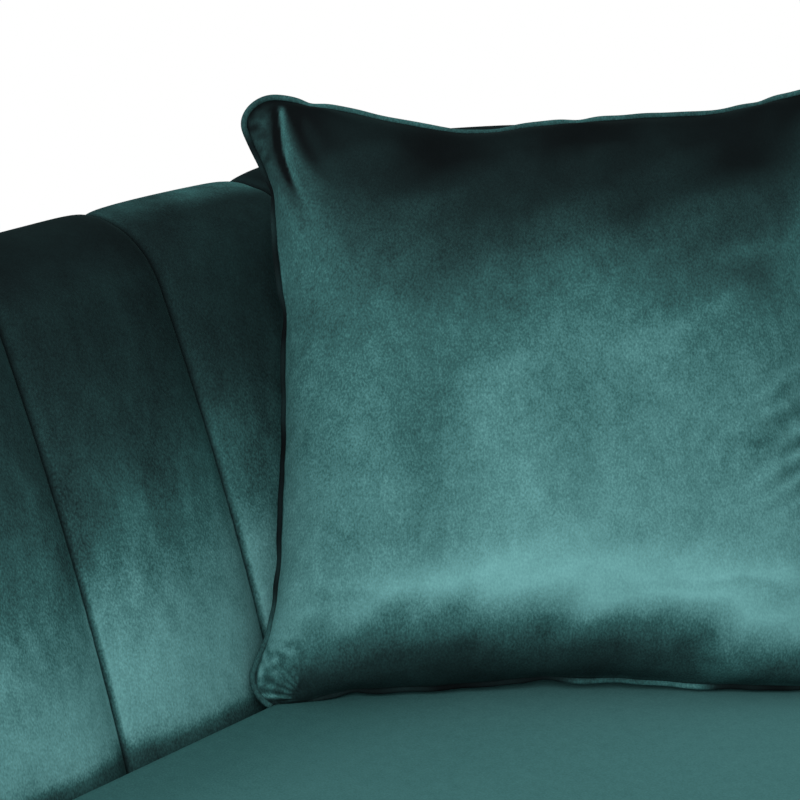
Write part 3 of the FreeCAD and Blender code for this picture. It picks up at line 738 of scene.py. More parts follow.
@dataclass
class ChannelWall:
    """Padded channels up the inside of the arms and the back, over the crest and down to their tails.

    The crest stands higher or lower at each seam, and painted light low on the wall gives way to
    painted shade above, in streaks.
    """

    wall: Wall
    across: int = 31
    crown: float = 0.018
    crest_crown: float = 0.005
    fall: float = 0.018
    uneven: float = 0.0011
    uneven_size: float = 0.11
    pucker: float = 0.0005
    pucker_length: float = 0.017
    pucker_reach: float = 0.007
    seam: float = 0.0002
    # painted light and shade: the pile is lit below one height and shaded above another, in streaks, and some
    # channels get a painted highlight along the crest
    light_below: float = 0.502
    dark_above: float = 0.668
    streak: float = 0.013
    streak_size: float = 0.011
    tone: float = 0.20
    tone_low: float = 0.53
    tone_high: float = -0.125
    back_light: float = 0.06
    back_lead: float = 0.012
    arm_light: Pair = (0.30, 0.06)
    arm_lead: Pair = (0.060, 0.016)
    right_share: float = 1 / 3

    @property
    def arm_lift(self) -> Array:
        """Lift of the crest at an arm's seams, from the corner forward."""
        places = np.linspace(0, 1, self.wall.arm_count + 1)
        return np.interp(places, (0, 0.34, 1), (-0.0085, -0.0015, 0.0035))

    @property
    def corner_lift(self) -> Array:
        """Lift of the crest at a corner's seams, from the arm to the back."""
        places = np.linspace(0, 1, self.wall.corner_count + 1)
        return np.interp(places, (0, 0.34, 0.7, 1), (-0.0085, 0.006, 0.0095, 0.0095))

    def channels(self) -> Iterator[Channel]:
        """Channels of the back, then of the corners, then of the arms.

        Yields:
            Each channel.
        """
        wall = self.wall
        pitch, step = wall.pitch, 90.0 / wall.corner_count
        arm, corner = self.arm_lift, self.corner_lift
        for index in range(wall.back_count):
            start = wall.back_half - (index + 1) * pitch
            yield Channel(f"back_channel_{index + 1}", Side.BACK, start, pitch, index + 1, False,
                          (corner[-1],) * 2, (self.back_light,) * 2, (self.back_lead,) * 2)
        seed = wall.back_count
        for index in range(wall.corner_count):
            seed += 2
            lift = (corner[index], corner[index + 1])
            name = f"corner_channel_{index + 1}"
            yield Channel(Side.RIGHT.node(name), Side.RIGHT, index * step, step, seed, True, lift)
            start = -(index + 1) * step
            yield Channel(Side.LEFT.node(name), Side.LEFT, start, step, seed + 1, True, lift[::-1])
        lights = [self.arm_light] + [(0.0, 0.0)] * (wall.arm_count - 1)
        leads = [*self.arm_lead] + [0.0] * (wall.arm_count - 1)
        for index in range(wall.arm_count):
            seed += 2
            lift = (arm[index], arm[index + 1])
            light = lights[index]
            lead = (leads[index], leads[index + 1])
            name = f"arm_channel_{index + 1}"
            less_light, less_lead = ((b * self.right_share, a * self.right_share) for a, b in (light, lead))
            start = -(index + 1) * pitch
            yield Channel(Side.RIGHT.node(name), Side.RIGHT, start, pitch, seed, False, lift[::-1],
                          less_light, less_lead)
            yield Channel(Side.LEFT.node(name), Side.LEFT, index * pitch, pitch, seed + 1, False, lift,
                          light, lead)

    def build(self) -> None:
        """All channels."""
        for channel in self.channels():
            self.pad(channel)

    def pad(self, channel: Channel) -> None:
        """Build one channel.

        Args:
            channel: where it runs and how it differs.
        """
        wall = self.wall
        bent = channel.bent
        part = bunched(self.across)
        sided = np.abs(2 * part - 1)
        crown = np.maximum(0.0, 1 - sided ** 2.6)[:, None] ** 0.62
        square = np.maximum(0.0, 1 - sided ** 6)[:, None] ** 0.55
        thick = self.thickness(crown, square, between(channel.lift, part)[:, None], bent)
        u, z, _, pad_z, tail_u, _ = wall.line().T
        slack = math.degrees(self.seam / wall.corner) if bent else self.seam
        along = channel.start + slack + part * (channel.width - 2 * slack)
        flat = self.lay(u + 0 * crown, z + 0 * crown, along, bent)
        steps = np.concatenate([[0], np.cumsum(np.hypot(np.diff(u), np.diff(z)))])
        near = np.minimum(part, 1 - part)[:, None] * wall.pitch
        ripple = np.sin(steps * 2 * math.pi / self.pucker_length + 3 * lumps(flat, 0.05, channel.seed))
        thick = thick + self.uneven * lumps(flat, self.uneven_size, channel.seed + 0.5) * crown
        thick = thick + self.pucker * ripple * np.exp(-near / self.pucker_reach) * smooth(0.0, 0.004, near)
        front = self.lay(*self.skin(thick, crown), along, bent)
        points, faces = shell_of(channel.side.world(wall, front), channel.side.world(wall, flat))
        # painted light low on the wall, reaching up in random streaks, and the painted highlight on the crest
        streaks = self.streak * lumps(front * (1, 1, 0.2), self.streak_size, channel.seed + 0.3)
        reach = between(channel.lead, part)[:, None] + streaks
        light = between(channel.light, part)[:, None]
        tone = self.pile_and_painted_light(front[..., 2], reach, pad_z + tail_u, near, light).ravel()
        piece = make_piece(channel.name + "_pad", points, faces, np.concatenate([tone, 0 * tone]))
        settle(piece, "frame", [channel.name], VELVET)

    def thickness(self, crown: Array, square: Array, lift: Array, bent: bool = False) -> Array:
        """Thickness of a pad up the section.

        Args:
            crown: fullness across the channel on the wall.
            square: fullness across the channel at the crest.
            lift: how far the crest stands above the frame's.
            bent: whether the pad goes round a corner, where it is thinner low down.

        Returns:
            Thickness at each point of the frame line.
        """
        wall = self.wall
        _, z, _, _, _, crest = wall.line().T
        over = smooth(0.0, 1.0, crest)
        full = between((self.crown, self.crest_crown), over)
        if bent:
            full = full * between((wall.corner_fade, 1), smooth(wall.seat_level, wall.tail_z, z))
        return wall.edge + between((crown, square), over) * full + lift * over

    def skin(self, thick: Array, crown: Array) -> tuple[Array, Array]:
        """Outer line of the section.

        Args:
            thick: thickness of the pad.
            crown: fullness of the tail.

        Returns:
            Its u and its z.
        """
        wall = self.wall
        u, z, pad_u, pad_z, tail_u, _ = wall.line().T
        drop = self.fall * tail_u ** 1.5 * np.clip((z - wall.tail_z) / wall.tail_length, 0, 1)
        outer = u + pad_u * thick + tail_u * (wall.tail_edge + wall.tail_crown * crown)
        return outer, z + pad_z * thick - drop

    def lay(self, u: Array, z: Array, along: Array, bent: bool) -> Array:
        """Points of a stretch's own axes.

        Args:
            u: the section's places outward.
            z: its heights.
            along: places along the wall, in metres, or in degrees round a corner.
            bent: whether the section goes round a corner.

        Returns:
            Places along by points of the section by 3.
        """
        reach = self.wall.corner + u
        if bent:
            turn = np.radians(along)[:, None]
            return spots(reach * np.cos(turn), reach * np.sin(turn), z)
        return spots(reach, along[:, None], z)

    def pile_and_painted_light(self, z: Array, reach: Array, up: Array, near: Array, light: Array) -> Array:
        """Painted light and shade of the pile on one channel.

        Args:
            z: heights of its points.
            reach: how much higher the light tone reaches.
            up: how far each point looks up.
            near: distance of each column from the nearer seam.
            light: how much painted highlight the crest has on each column.

        Returns:
            Tones: painted light low on the wall, painted shade above, in the seams and at the very foot by
                the seat, and painted highlights along the crest and beside the seams.
        """
        # painted light low on the wall, painted shade above
        low = smooth(self.dark_above, self.light_below, z - reach)
        # painted shade on the roll, and a painted highlight on the crest's top
        rolled = 0.045 * smooth(0.45, 0.85, up) * np.clip(1 - light / 0.12, 0, 1)
        crest = light * smooth(0.86, 1.0, up) - rolled
        tone = self.tone + self.tone_high * smooth(0.60, 0.76, z) + self.tone_low * low + crest
        # painted highlight on the pad's edge beside each seam
        tone = tone + 0.06 * smooth(0.012, 0.004, near) * (0.3 + low)
        # painted shade in the seams
        tone = tone * (1 - 0.75 * smooth(0.0035, 0.0, near))
        # painted shade at the very foot, where the pad meets the seat
        return np.clip(tone * (0.28 + 0.72 * smooth(0.456, 0.472, z)), 0, 1)


@dataclass
class OutsideCovers:
    """Cloth over board on the outside of the back and the arms, turned under at the foot."""

    wall: Wall
    rows: int = 40
    bulge: float = 0.003
    turned_in: float = 0.0015
    uneven: float = 0.0012
    uneven_size: float = 0.22
    # painted light at the cloth's foot and painted shade at its top
    tones: Pair = (0.42, 0.26)

    def stations(self, side: Side) -> list[Pair]:
        """Places along a cover.

        Args:
            side: which cover.

        Returns:
            Angle in degrees and shift along, from one end to the other.
        """
        wall = self.wall
        if side is Side.BACK:
            half = wall.back_half - wall.gap
            return [(0.0, shift) for shift in np.linspace(-half, half, 90)]
        sense = 1 if side is Side.RIGHT else -1
        run = [(0.0, shift) for shift in np.linspace(-sense * wall.arm_run, 0, 34)]
        return run + [(angle, 0.0) for angle in np.linspace(0, sense * 90, 25)[1:]]

    def sweep(self, side: Side, u: Array, z: Array) -> Array:
        """Section carried along a cover's stations.

        Args:
            side: which cover.
            u: the section's places outward.
            z: its heights.

        Returns:
            Points in the row frame.
        """
        angle, shift = np.array(self.stations(side)).T[..., None]
        turn = np.radians(angle)
        reach = self.wall.corner + u
        return side.world(self.wall, spots(reach * np.cos(turn), reach * np.sin(turn) + shift, z))

    def flat(self, side: Side) -> Pair:
        """Size of a cover's cloth before it is put on, without its turnings.

        Args:
            side: which cover.

        Returns:
            Length and height.
        """
        wall = self.wall
        foot, head = (wall.cover_u(z) for z in (wall.leg_height, wall.tail_z))
        tall = math.hypot(wall.tail_z - wall.leg_height, head - foot)
        if side is Side.BACK:
            return 2 * wall.back_half, tall
        return wall.arm_run + (wall.corner + (foot + head) / 2) * math.pi / 2, tall

    def build(self) -> None:
        """Back, left and right covers."""
        wall = self.wall
        part = np.linspace(0, 1, self.rows)
        z = between((wall.leg_height, wall.tail_z - wall.gap), part)
        swell = self.bulge * np.sin(math.pi * part) ** 0.5 - self.turned_in * np.exp(-part / 0.02)
        for side in Side:
            outer = self.sweep(side, wall.cover_u(z) + swell, z)
            inner = self.sweep(side, wall.cover_u(z) - wall.cover_thick, z)
            outward = outer - inner
            outward /= np.linalg.norm(outward, axis=-1, keepdims=True)
            waves = self.uneven * lumps(outer, self.uneven_size, 40 + side.value)
            points, faces = shell_of(outer + outward * waves[..., None], inner)
            # painted light fading to painted shade from the foot to the top
            tone = np.tile(between(self.tones, part), len(outer))
            name = side.node("cover")
            piece = make_piece(name + "_cloth", points, faces, np.concatenate([tone, 0 * tone]))
            settle(piece, "frame", [name], COVER_VELVET)
            rests_on = ["upright_ribs", side.node("rail"), side.node("top_rail")]
            self.flat(side)


@dataclass
class ArmFronts:
    """Padded end plates of the arms, rounded round their front edge."""

    wall: Wall
    channels: ChannelWall
    crown: float = 0.9
    round: float = 0.012
    columns: int = 33
    foot_rows: int = 12
    inset: float = 0.0005

    def outline(self) -> tuple[Array, Array]:
        """Inner and outer line of the face, from the foot to where they meet at the tail.

        Returns:
            Rows of u and z, as many on both.
        """
        wall = self.wall
        thick = self.channels.thickness(self.crown, self.crown, self.channels.arm_lift[-1])
        inner = spots(*self.channels.skin(thick, self.crown))
        base = np.linspace(wall.leg_height, wall.foot_level, self.foot_rows)[:-1]
        inner = np.concatenate([spots(inner[0, 0], base), inner])
        foot = np.array([wall.cover_u(wall.leg_height), wall.leg_height])
        share = np.linspace(0, 1, len(inner))[:, None]
        return inner, between((foot, inner[-1] - self.inset), share)

    @staticmethod
    def edge_distance(plane: Array, inner: Array, outer: Array) -> Array:
        """Distance of the face's points from its outline.

        Args:
            plane: the points.
            inner: inner line of the face.
            outer: outer line of the face.

        Returns:
            Distances in the shape of the points.
        """
        loop = np.concatenate([inner, outer[::-1]])
        flat = plane.reshape(-1, 2)
        best = np.full(len(flat), 1.0)
        for first, last in zip(loop, np.roll(loop, -1, axis=0)):
            run = last - first
            share = np.clip((flat - first) @ run / max(float(run @ run), 1e-12), 0, 1)
            best = np.minimum(best, np.linalg.norm(flat - first - share[:, None] * run, axis=1))
        return best.reshape(plane.shape[:-1])

    def build(self) -> None:
        """Right and left arm fronts."""
        wall = self.wall
        inner, outer = self.outline()
        plane = between((inner, outer), bunched(self.columns)[:, None, None])
        front = wall.facing - edge_drop(self.round, self.edge_distance(plane, inner, outer))
        height = plane[..., 1].ravel()
        # painted light low on the face and painted shade high up, as on the channels
        tone = 0.20 - 0.11 * smooth(0.60, 0.76, height) + 0.28 * smooth(0.64, 0.40, height)
        for side, sense in ((Side.RIGHT, -1), (Side.LEFT, 1)):
            rear_y = sense * (wall.arm_run + wall.gap)
            grids = [spots(wall.corner + plane[..., 0], rear_y + sense * depth, plane[..., 1])
                     for depth in (front, 0.0)]
            points, faces = shell_of(*(side.world(wall, grid) for grid in grids))
            name = side.node("arm_front")
            piece = make_piece(name + "_pad", points, faces, np.tile(tone, 2))
            settle(piece, "frame", [name], COVER_VELVET)


@dataclass
class FrontApron:
    """Padded strip under the seat's front edge."""

    round: float = 0.010
    rows: int = 25
    uneven: float = 0.0012
    uneven_size: float = 0.18
    tone: float = 0.40

    def build(self) -> None:
        """Grid with rounded edges over the CAD apron's box."""
        low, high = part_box("front_apron")
        runs = ((0, 0.02, 9), (0.03, 0.97, 95), (0.98, 1, 9))
        along = np.concatenate([np.linspace(*run) for run in runs])
        x, z = np.meshgrid(between((low.x, high.x), along), between((low.z, high.z), bunched(self.rows)),
                           indexing="ij")
        away = np.minimum(np.minimum(x - low.x, high.x - x), np.minimum(z - low.z, high.z - z))
        front = spots(x, low.y + edge_drop(self.round, away), z)
        front[..., 1] += self.uneven * lumps(front, self.uneven_size, 61) * smooth(0, 0.02, away)
        points, faces = shell_of(front, spots(x, high.y, z))
        piece = make_piece("front_apron_pad", points, faces, np.full(len(points), self.tone))
        settle(piece, "frame", ["front_apron"], COVER_VELVET)


# The seat
@dataclass(frozen=True)
class SeatPlan:
    """Outline of the seat: straight front, back corners round the wall's corners."""

    wall: Wall
    inset: float = 0.0
    front_back: float = 0.0
    nose: float = 0.006
    least_turn: float = 0.024

    @property
    def half(self) -> Pair:
        """Half the width and half the depth."""
        side = self.wall.inner_half - self.wall.crown - self.inset
        return side, (self.wall.back_line - self.wall.crown - self.inset - self.fore) / 2

    @property
    def fore(self) -> float:
        """Front edge."""
        return -self.wall.depth / 2 + self.front_back + self.inset

    def turns(self, y: Array) -> Array:
        """Radius of the corners nearest to places along, counted from the middle."""
        back = max(self.wall.corner - self.wall.crown - self.inset, self.least_turn)
        return np.where(y < 0, self.nose, back)

    def grid(self, spacing: float) -> Array:
        """Points over the outline, closer together at its edge.

        Args:
            spacing: distance between points in the middle.

        Returns:
            Columns by rows by x and y.
        """
        side, deep = self.half
        x, y = np.meshgrid(self.spaced(2 * side, spacing) - side, self.spaced(2 * deep, spacing) - deep,
                           indexing="ij")
        x, y = round_corners(x, y, self.half, self.turns(y))
        return spots(x, y + deep + self.fore)

    @staticmethod
    def spaced(length: float, spacing: float) -> Array:
        """Places along a length, dense at both ends.

        Args:
            length: the length.
            spacing: distance between places in the middle.

        Returns:
            Places from 0 to the length.
        """
        ends = np.array([0, 0.0012, 0.003, 0.0055, 0.009, 0.0135, 0.019, 0.026, 0.035])
        count = max(3, round((length - 2 * ends[-1]) / spacing))
        middle = np.linspace(ends[-1], length - ends[-1], count + 1)[1:-1]
        return np.concatenate([ends, middle, length - ends[::-1]])

    def inside(self, place: Array) -> Array:
        """Distance from points to the outline.

        Args:
            place: x and y of the points.

        Returns:
            Distances, positive inside.
        """
        side, deep = self.half
        y = place[..., 1] - self.fore - deep
        radius = self.turns(y)
        over_x = np.abs(place[..., 0]) - side + radius
        over_y = np.abs(y) - deep + radius
        outer = np.hypot(np.maximum(over_x, 0), np.maximum(over_y, 0))
        return radius - outer - np.minimum(np.maximum(over_x, over_y), 0)


@dataclass
class SeatCushion:
    """Loose bench cushion: boxed, with a soft top edge and a gentle crown."""

    wall: Wall
    low: float = 0.2922
    edge_top: float = 0.4640
    crown: float = 0.0026
    crown_reach: float = 0.16
    round: float = 0.006
    under: float = 0.008
    side_rows: int = 9
    uneven: float = 0.0010
    uneven_size: float = 0.16
    cloth: float = 0.003
    room: float = 0.0015
    front_back: float = 0.004
    nose: float = 0.033
    cover_spacing: float = 0.011
    foam_spacing: float = 0.03

    def plan(self, inset: float = 0.0) -> SeatPlan:
        """Outline of the cushion, or of what is inside its cloth."""
        return SeatPlan(self.wall, self.room + inset, self.front_back, self.nose - inset / 2)

    def top(self, place: Array, inset: float = 0.0) -> Array:
        """Height of the top.

        Args:
            place: x and y of the points.
            inset: how far inside the cushion's face it is.

        Returns:
            Heights.
        """
        inside = np.maximum(self.plan(inset).inside(place), 0.0)
        dome = self.crown * (1 - (1 - np.clip(inside / self.crown_reach, 0, 1)) ** 3.5)
        return self.edge_top + dome - edge_drop(self.round, inside) - inset

    def mesh(self, inset: float, spacing: float) -> tuple[Array, Faces]:
        """Top and bottom grids joined by the border.

        Args:
            inset: how far inside the cushion's face the mesh is.
            spacing: distance between points in the middle.

        Returns:
            Points and faces.
        """
        plane = self.plan(inset).grid(spacing)
        inside = np.maximum(self.plan(inset).inside(plane), 0.0)
        high = self.top(plane, inset)
        waves = lumps(at_height(plane, high), self.uneven_size, 71)
        high = high + self.uneven * waves * smooth(0.0, 0.05, inside)
        top = at_height(plane, high).reshape(-1, 3)
        bottom = at_height(plane, self.low + inset + edge_drop(self.under, inside)).reshape(-1, 3)
        rows, columns = plane.shape[:2]
        count = rows * columns
        faces = grid_faces(rows, columns) + grid_faces(rows, columns, count, flip=True)
        rim = grid_rim(rows, columns)
        points = [top, bottom]
        loop = rim
        first = 2 * count
        for row in range(1, self.side_rows):
            points.append(between((top[rim], bottom[rim]), row / self.side_rows))
            after = list(range(first, first + len(rim)))
            faces += rim_faces(after, loop)
            loop = after
            first += len(rim)
        faces += rim_faces([count + i for i in rim], loop)
        return np.concatenate(points), faces

    def build(self) -> None:
        """Cover and, inside it, the foam core."""
        points, faces = self.mesh(0.0, self.cover_spacing)
        # painted light: a little lighter away from the arms, and towards the back where the pillows shade the
        # seat
        tone = 0.50 + 0.05 * smooth(0.80, 0.68, np.abs(points[:, 0])) + 0.04 * smooth(-0.1, 0.1, points[:, 1])
        cover = make_piece("seat_cushion_cover", points, faces, tone)
        nodes = ["seat_top_panel", "seat_border", "seat_bottom_panel"]
        settle(cover, "seat_cushion", nodes, SEAT_VELVET)
        core = make_piece("seat_cushion_foam", *self.mesh(self.cloth, self.foam_spacing))
        settle(core, "seat_cushion", ["seat_core"], FOAM)


@dataclass
class UnderSheets:
    """Cloths under the seat: the deck over the webbing and the dust cover under the rails."""

    wall: Wall
    sag: float = 0.004
    turning: float = 0.016
    spacing: float = 0.03
    hole: float = 0.032
    hole_points: int = 40
    hole_levels: Pair = (0.10, 0.20)
    leg_reach: float = 0.12
    leg_top: float = 0.001
    front_room: float = 0.001

    def shell(self, name: str, plan: SeatPlan, low: float, high: float, sag: float) -> Thing:
        """Thin closed sheet over an outline.

        Args:
            name: piece name.
            plan: its outline.
            low: height of its underside at the edge.
            high: height of its upper side at the edge.
            sag: how far it hangs in the middle.

        Returns:
            The object.
        """
        plane = plan.grid(self.spacing)
        hang = sag * smooth(0.0, 0.25, plan.inside(plane))
        hang = hang * (0.8 + 0.3 * lumps(at_height(plane, 0.0), 0.2, 17))
        return make_piece(name, *shell_of(at_height(plane, high - hang), at_height(plane, low - hang)))

    def leg_spots(self) -> list[Array]:
        """Where the legs stand.

        Returns:
            Middle of each leg's upper end.
        """
        found = []
        for row in ("front_legs", "back_legs"):
            points = np.array([vertex.co for vertex in frame["nodes"][row].data.vertices])
            points = points[points[:, 2] > points[:, 2].max() - self.leg_top]
            for end in np.linspace(points[:, 0].min(), points[:, 0].max(), 3):
                near = points[np.abs(points[:, 0] - end) < self.leg_reach]
                found.append((near.min(0) + near.max(0)) / 2)
        return found

    def pierce(self, piece: Thing) -> None:
        """Cut the holes for the leg plates.

        Args:
            piece: the dust cover.
        """
        count = self.hole_points
        turns = np.linspace(0, 2 * math.pi, count, endpoint=False)
        low, high = list(range(count)), list(range(count, 2 * count))
        faces = rim_faces(low, high) + [tuple(low[::-1]), tuple(high)]
        for spot in self.leg_spots():
            x, y = spot[0] + self.hole * np.cos(turns), spot[1] + self.hole * np.sin(turns)
            rings = [spots(x, y, level) for level in self.hole_levels]
            cutter = make_piece("cutter", np.concatenate(rings), faces)
            cut = piece.modifiers.new("hole", "BOOLEAN")
            cut.object = cutter
            cut.operation = "DIFFERENCE"
            done = piece.evaluated_get(bpy.context.evaluated_depsgraph_get())
            piece.data = bpy.data.meshes.new_from_object(done)
            piece.modifiers.clear()
            bpy.data.objects.remove(cutter)

    def build(self) -> None:
        """Deck and dust cover."""
        wall = self.wall
        low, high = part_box("seat_deck")
        plan = SeatPlan(wall, wall.gap - self.turning, wall.facing + wall.gap + self.turning)
        deck = self.shell("seat_deck_cloth", plan, low.z, high.z, 0.0)
        settle(deck, "frame", ["seat_deck"], LINING)
        low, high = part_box("dust_cover")
        out = wall.crown + wall.cover_foot - wall.cover_thick - wall.gap
        plan = SeatPlan(wall, -out, out + wall.facing + self.front_room)
        dust = self.shell("dust_cover_cloth", plan, low.z, high.z, self.sag)
        self.pierce(dust)
        settle(dust, "frame", ["dust_cover"], LINING)


# How far the pillow's top edge stands up or hangs, from -1, its left end, to 1, its right end
TOP_EDGE = (
    (-1.00, -0.0020), (-0.95, -0.0020), (-0.90, -0.0010), (-0.87, 0.0014), (-0.80, 0.0072), (-0.745, 0.0103),
    (-0.69, 0.0066), (-0.62, 0.0044), (-0.50, 0.0003), (-0.40, -0.0030), (-0.26, -0.0036), (-0.09, 0.0037),
    (0.08, 0.0096), (0.18, 0.0090), (0.28, 0.0080), (0.46, 0.0050), (0.56, 0.0050), (0.66, 0.0125),
    (0.75, 0.0105), (0.90, 0.0040), (1.00, 0.0000),
)
# Painted light and shade of the pillow's pile by height, and of its rounded sides, from -1, its foot, to 1,
# its top: shaded at the top, lit low down, shaded again at the foot
FACE_PAINTED_LIGHT = (
    (-0.90, 0.10), (-0.80, 0.19), (-0.72, 0.48), (-0.61, 0.89), (-0.48, 0.68), (-0.2, 0.61), (0.07, 0.56),
    (0.2, 0.47), (0.34, 0.32), (0.47, 0.19), (0.61, 0.06), (0.75, 0.01), (1.0, 0.0),
)
SIDE_PAINTED_LIGHT = ((-0.9, 0.78), (-0.4, 0.62), (0.0, 0.55), (0.4, 0.45), (0.7, 0.20))
# Patches that shift the pillow's tone: marks of crushed pile, and in the last painted shade by the folds at
# the right edge; place, slant in degrees, half length, half width, shift of the tone
CRUSHED_AND_SHADED = (
    (0.157, 0.068, -28, 0.035, 0.014, 0.15),
    (0.142, 0.099, 14, 0.030, 0.006, -0.10),
    (0.100, 0.049, 22, 0.050, 0.014, -0.12),
    (0.146, -0.046, 25, 0.030, 0.016, 0.35),
)


def along_curve(curve: tuple[Pair, ...], place: Array) -> Array:
    """Values of a curve, given by its points, at places."""
    return np.interp(place, *np.array(curve).T)


def turned(x: Array, y: Array, slant: float) -> tuple[Array, Array]:
    """Places along and across a direction that rises by a slant in degrees."""
    c, s = math.cos(math.radians(slant)), math.sin(math.radians(slant))
    return x * c + y * s, y * c - x * s


def normals(grid: Array) -> Array:
    """Unit normals of a grid of points."""
    found = np.cross(np.gradient(grid, axis=0), np.gradient(grid, axis=1))
    return found / np.maximum(np.linalg.norm(found, axis=-1, keepdims=True), 1e-12)


def blurred(grid: Array, times: int) -> Array:
    """Grid of points with each moved to the mean of its neighbours, over and over.

    Args:
        grid: the points.
        times: how often.

    Returns:
        The moved points.
    """
    for _ in range(times):
        wide = np.pad(grid, ((1, 1), (1, 1), (0, 0)), mode="reflect", reflect_type="odd")
        sides = wide[2:, 1:-1] + wide[:-2, 1:-1] + wide[1:-1, 2:] + wide[1:-1, :-2]
        grid = (sides + 4 * wide[1:-1, 1:-1]) / 8
    return grid


def refined(grid: Array) -> Array:
    """Grid with a point between each two neighbours, on a smooth curve.

    Args:
        grid: the points.

    Returns:
        The finer grid.
    """
    for axis in (0, 1):
        lines = np.moveaxis(grid, axis, 0)
        wide = np.concatenate([2 * lines[:1] - lines[1:2], lines, 2 * lines[-1:] - lines[-2:-1]])
        made = np.empty((2 * len(lines) - 1, *lines.shape[1:]))
        made[0::2] = lines
        made[1::2] = (9 * (wide[1:-2] + wide[2:-1]) - wide[:-3] - wide[3:]) / 16
        grid = np.moveaxis(made, 0, axis)
    return grid


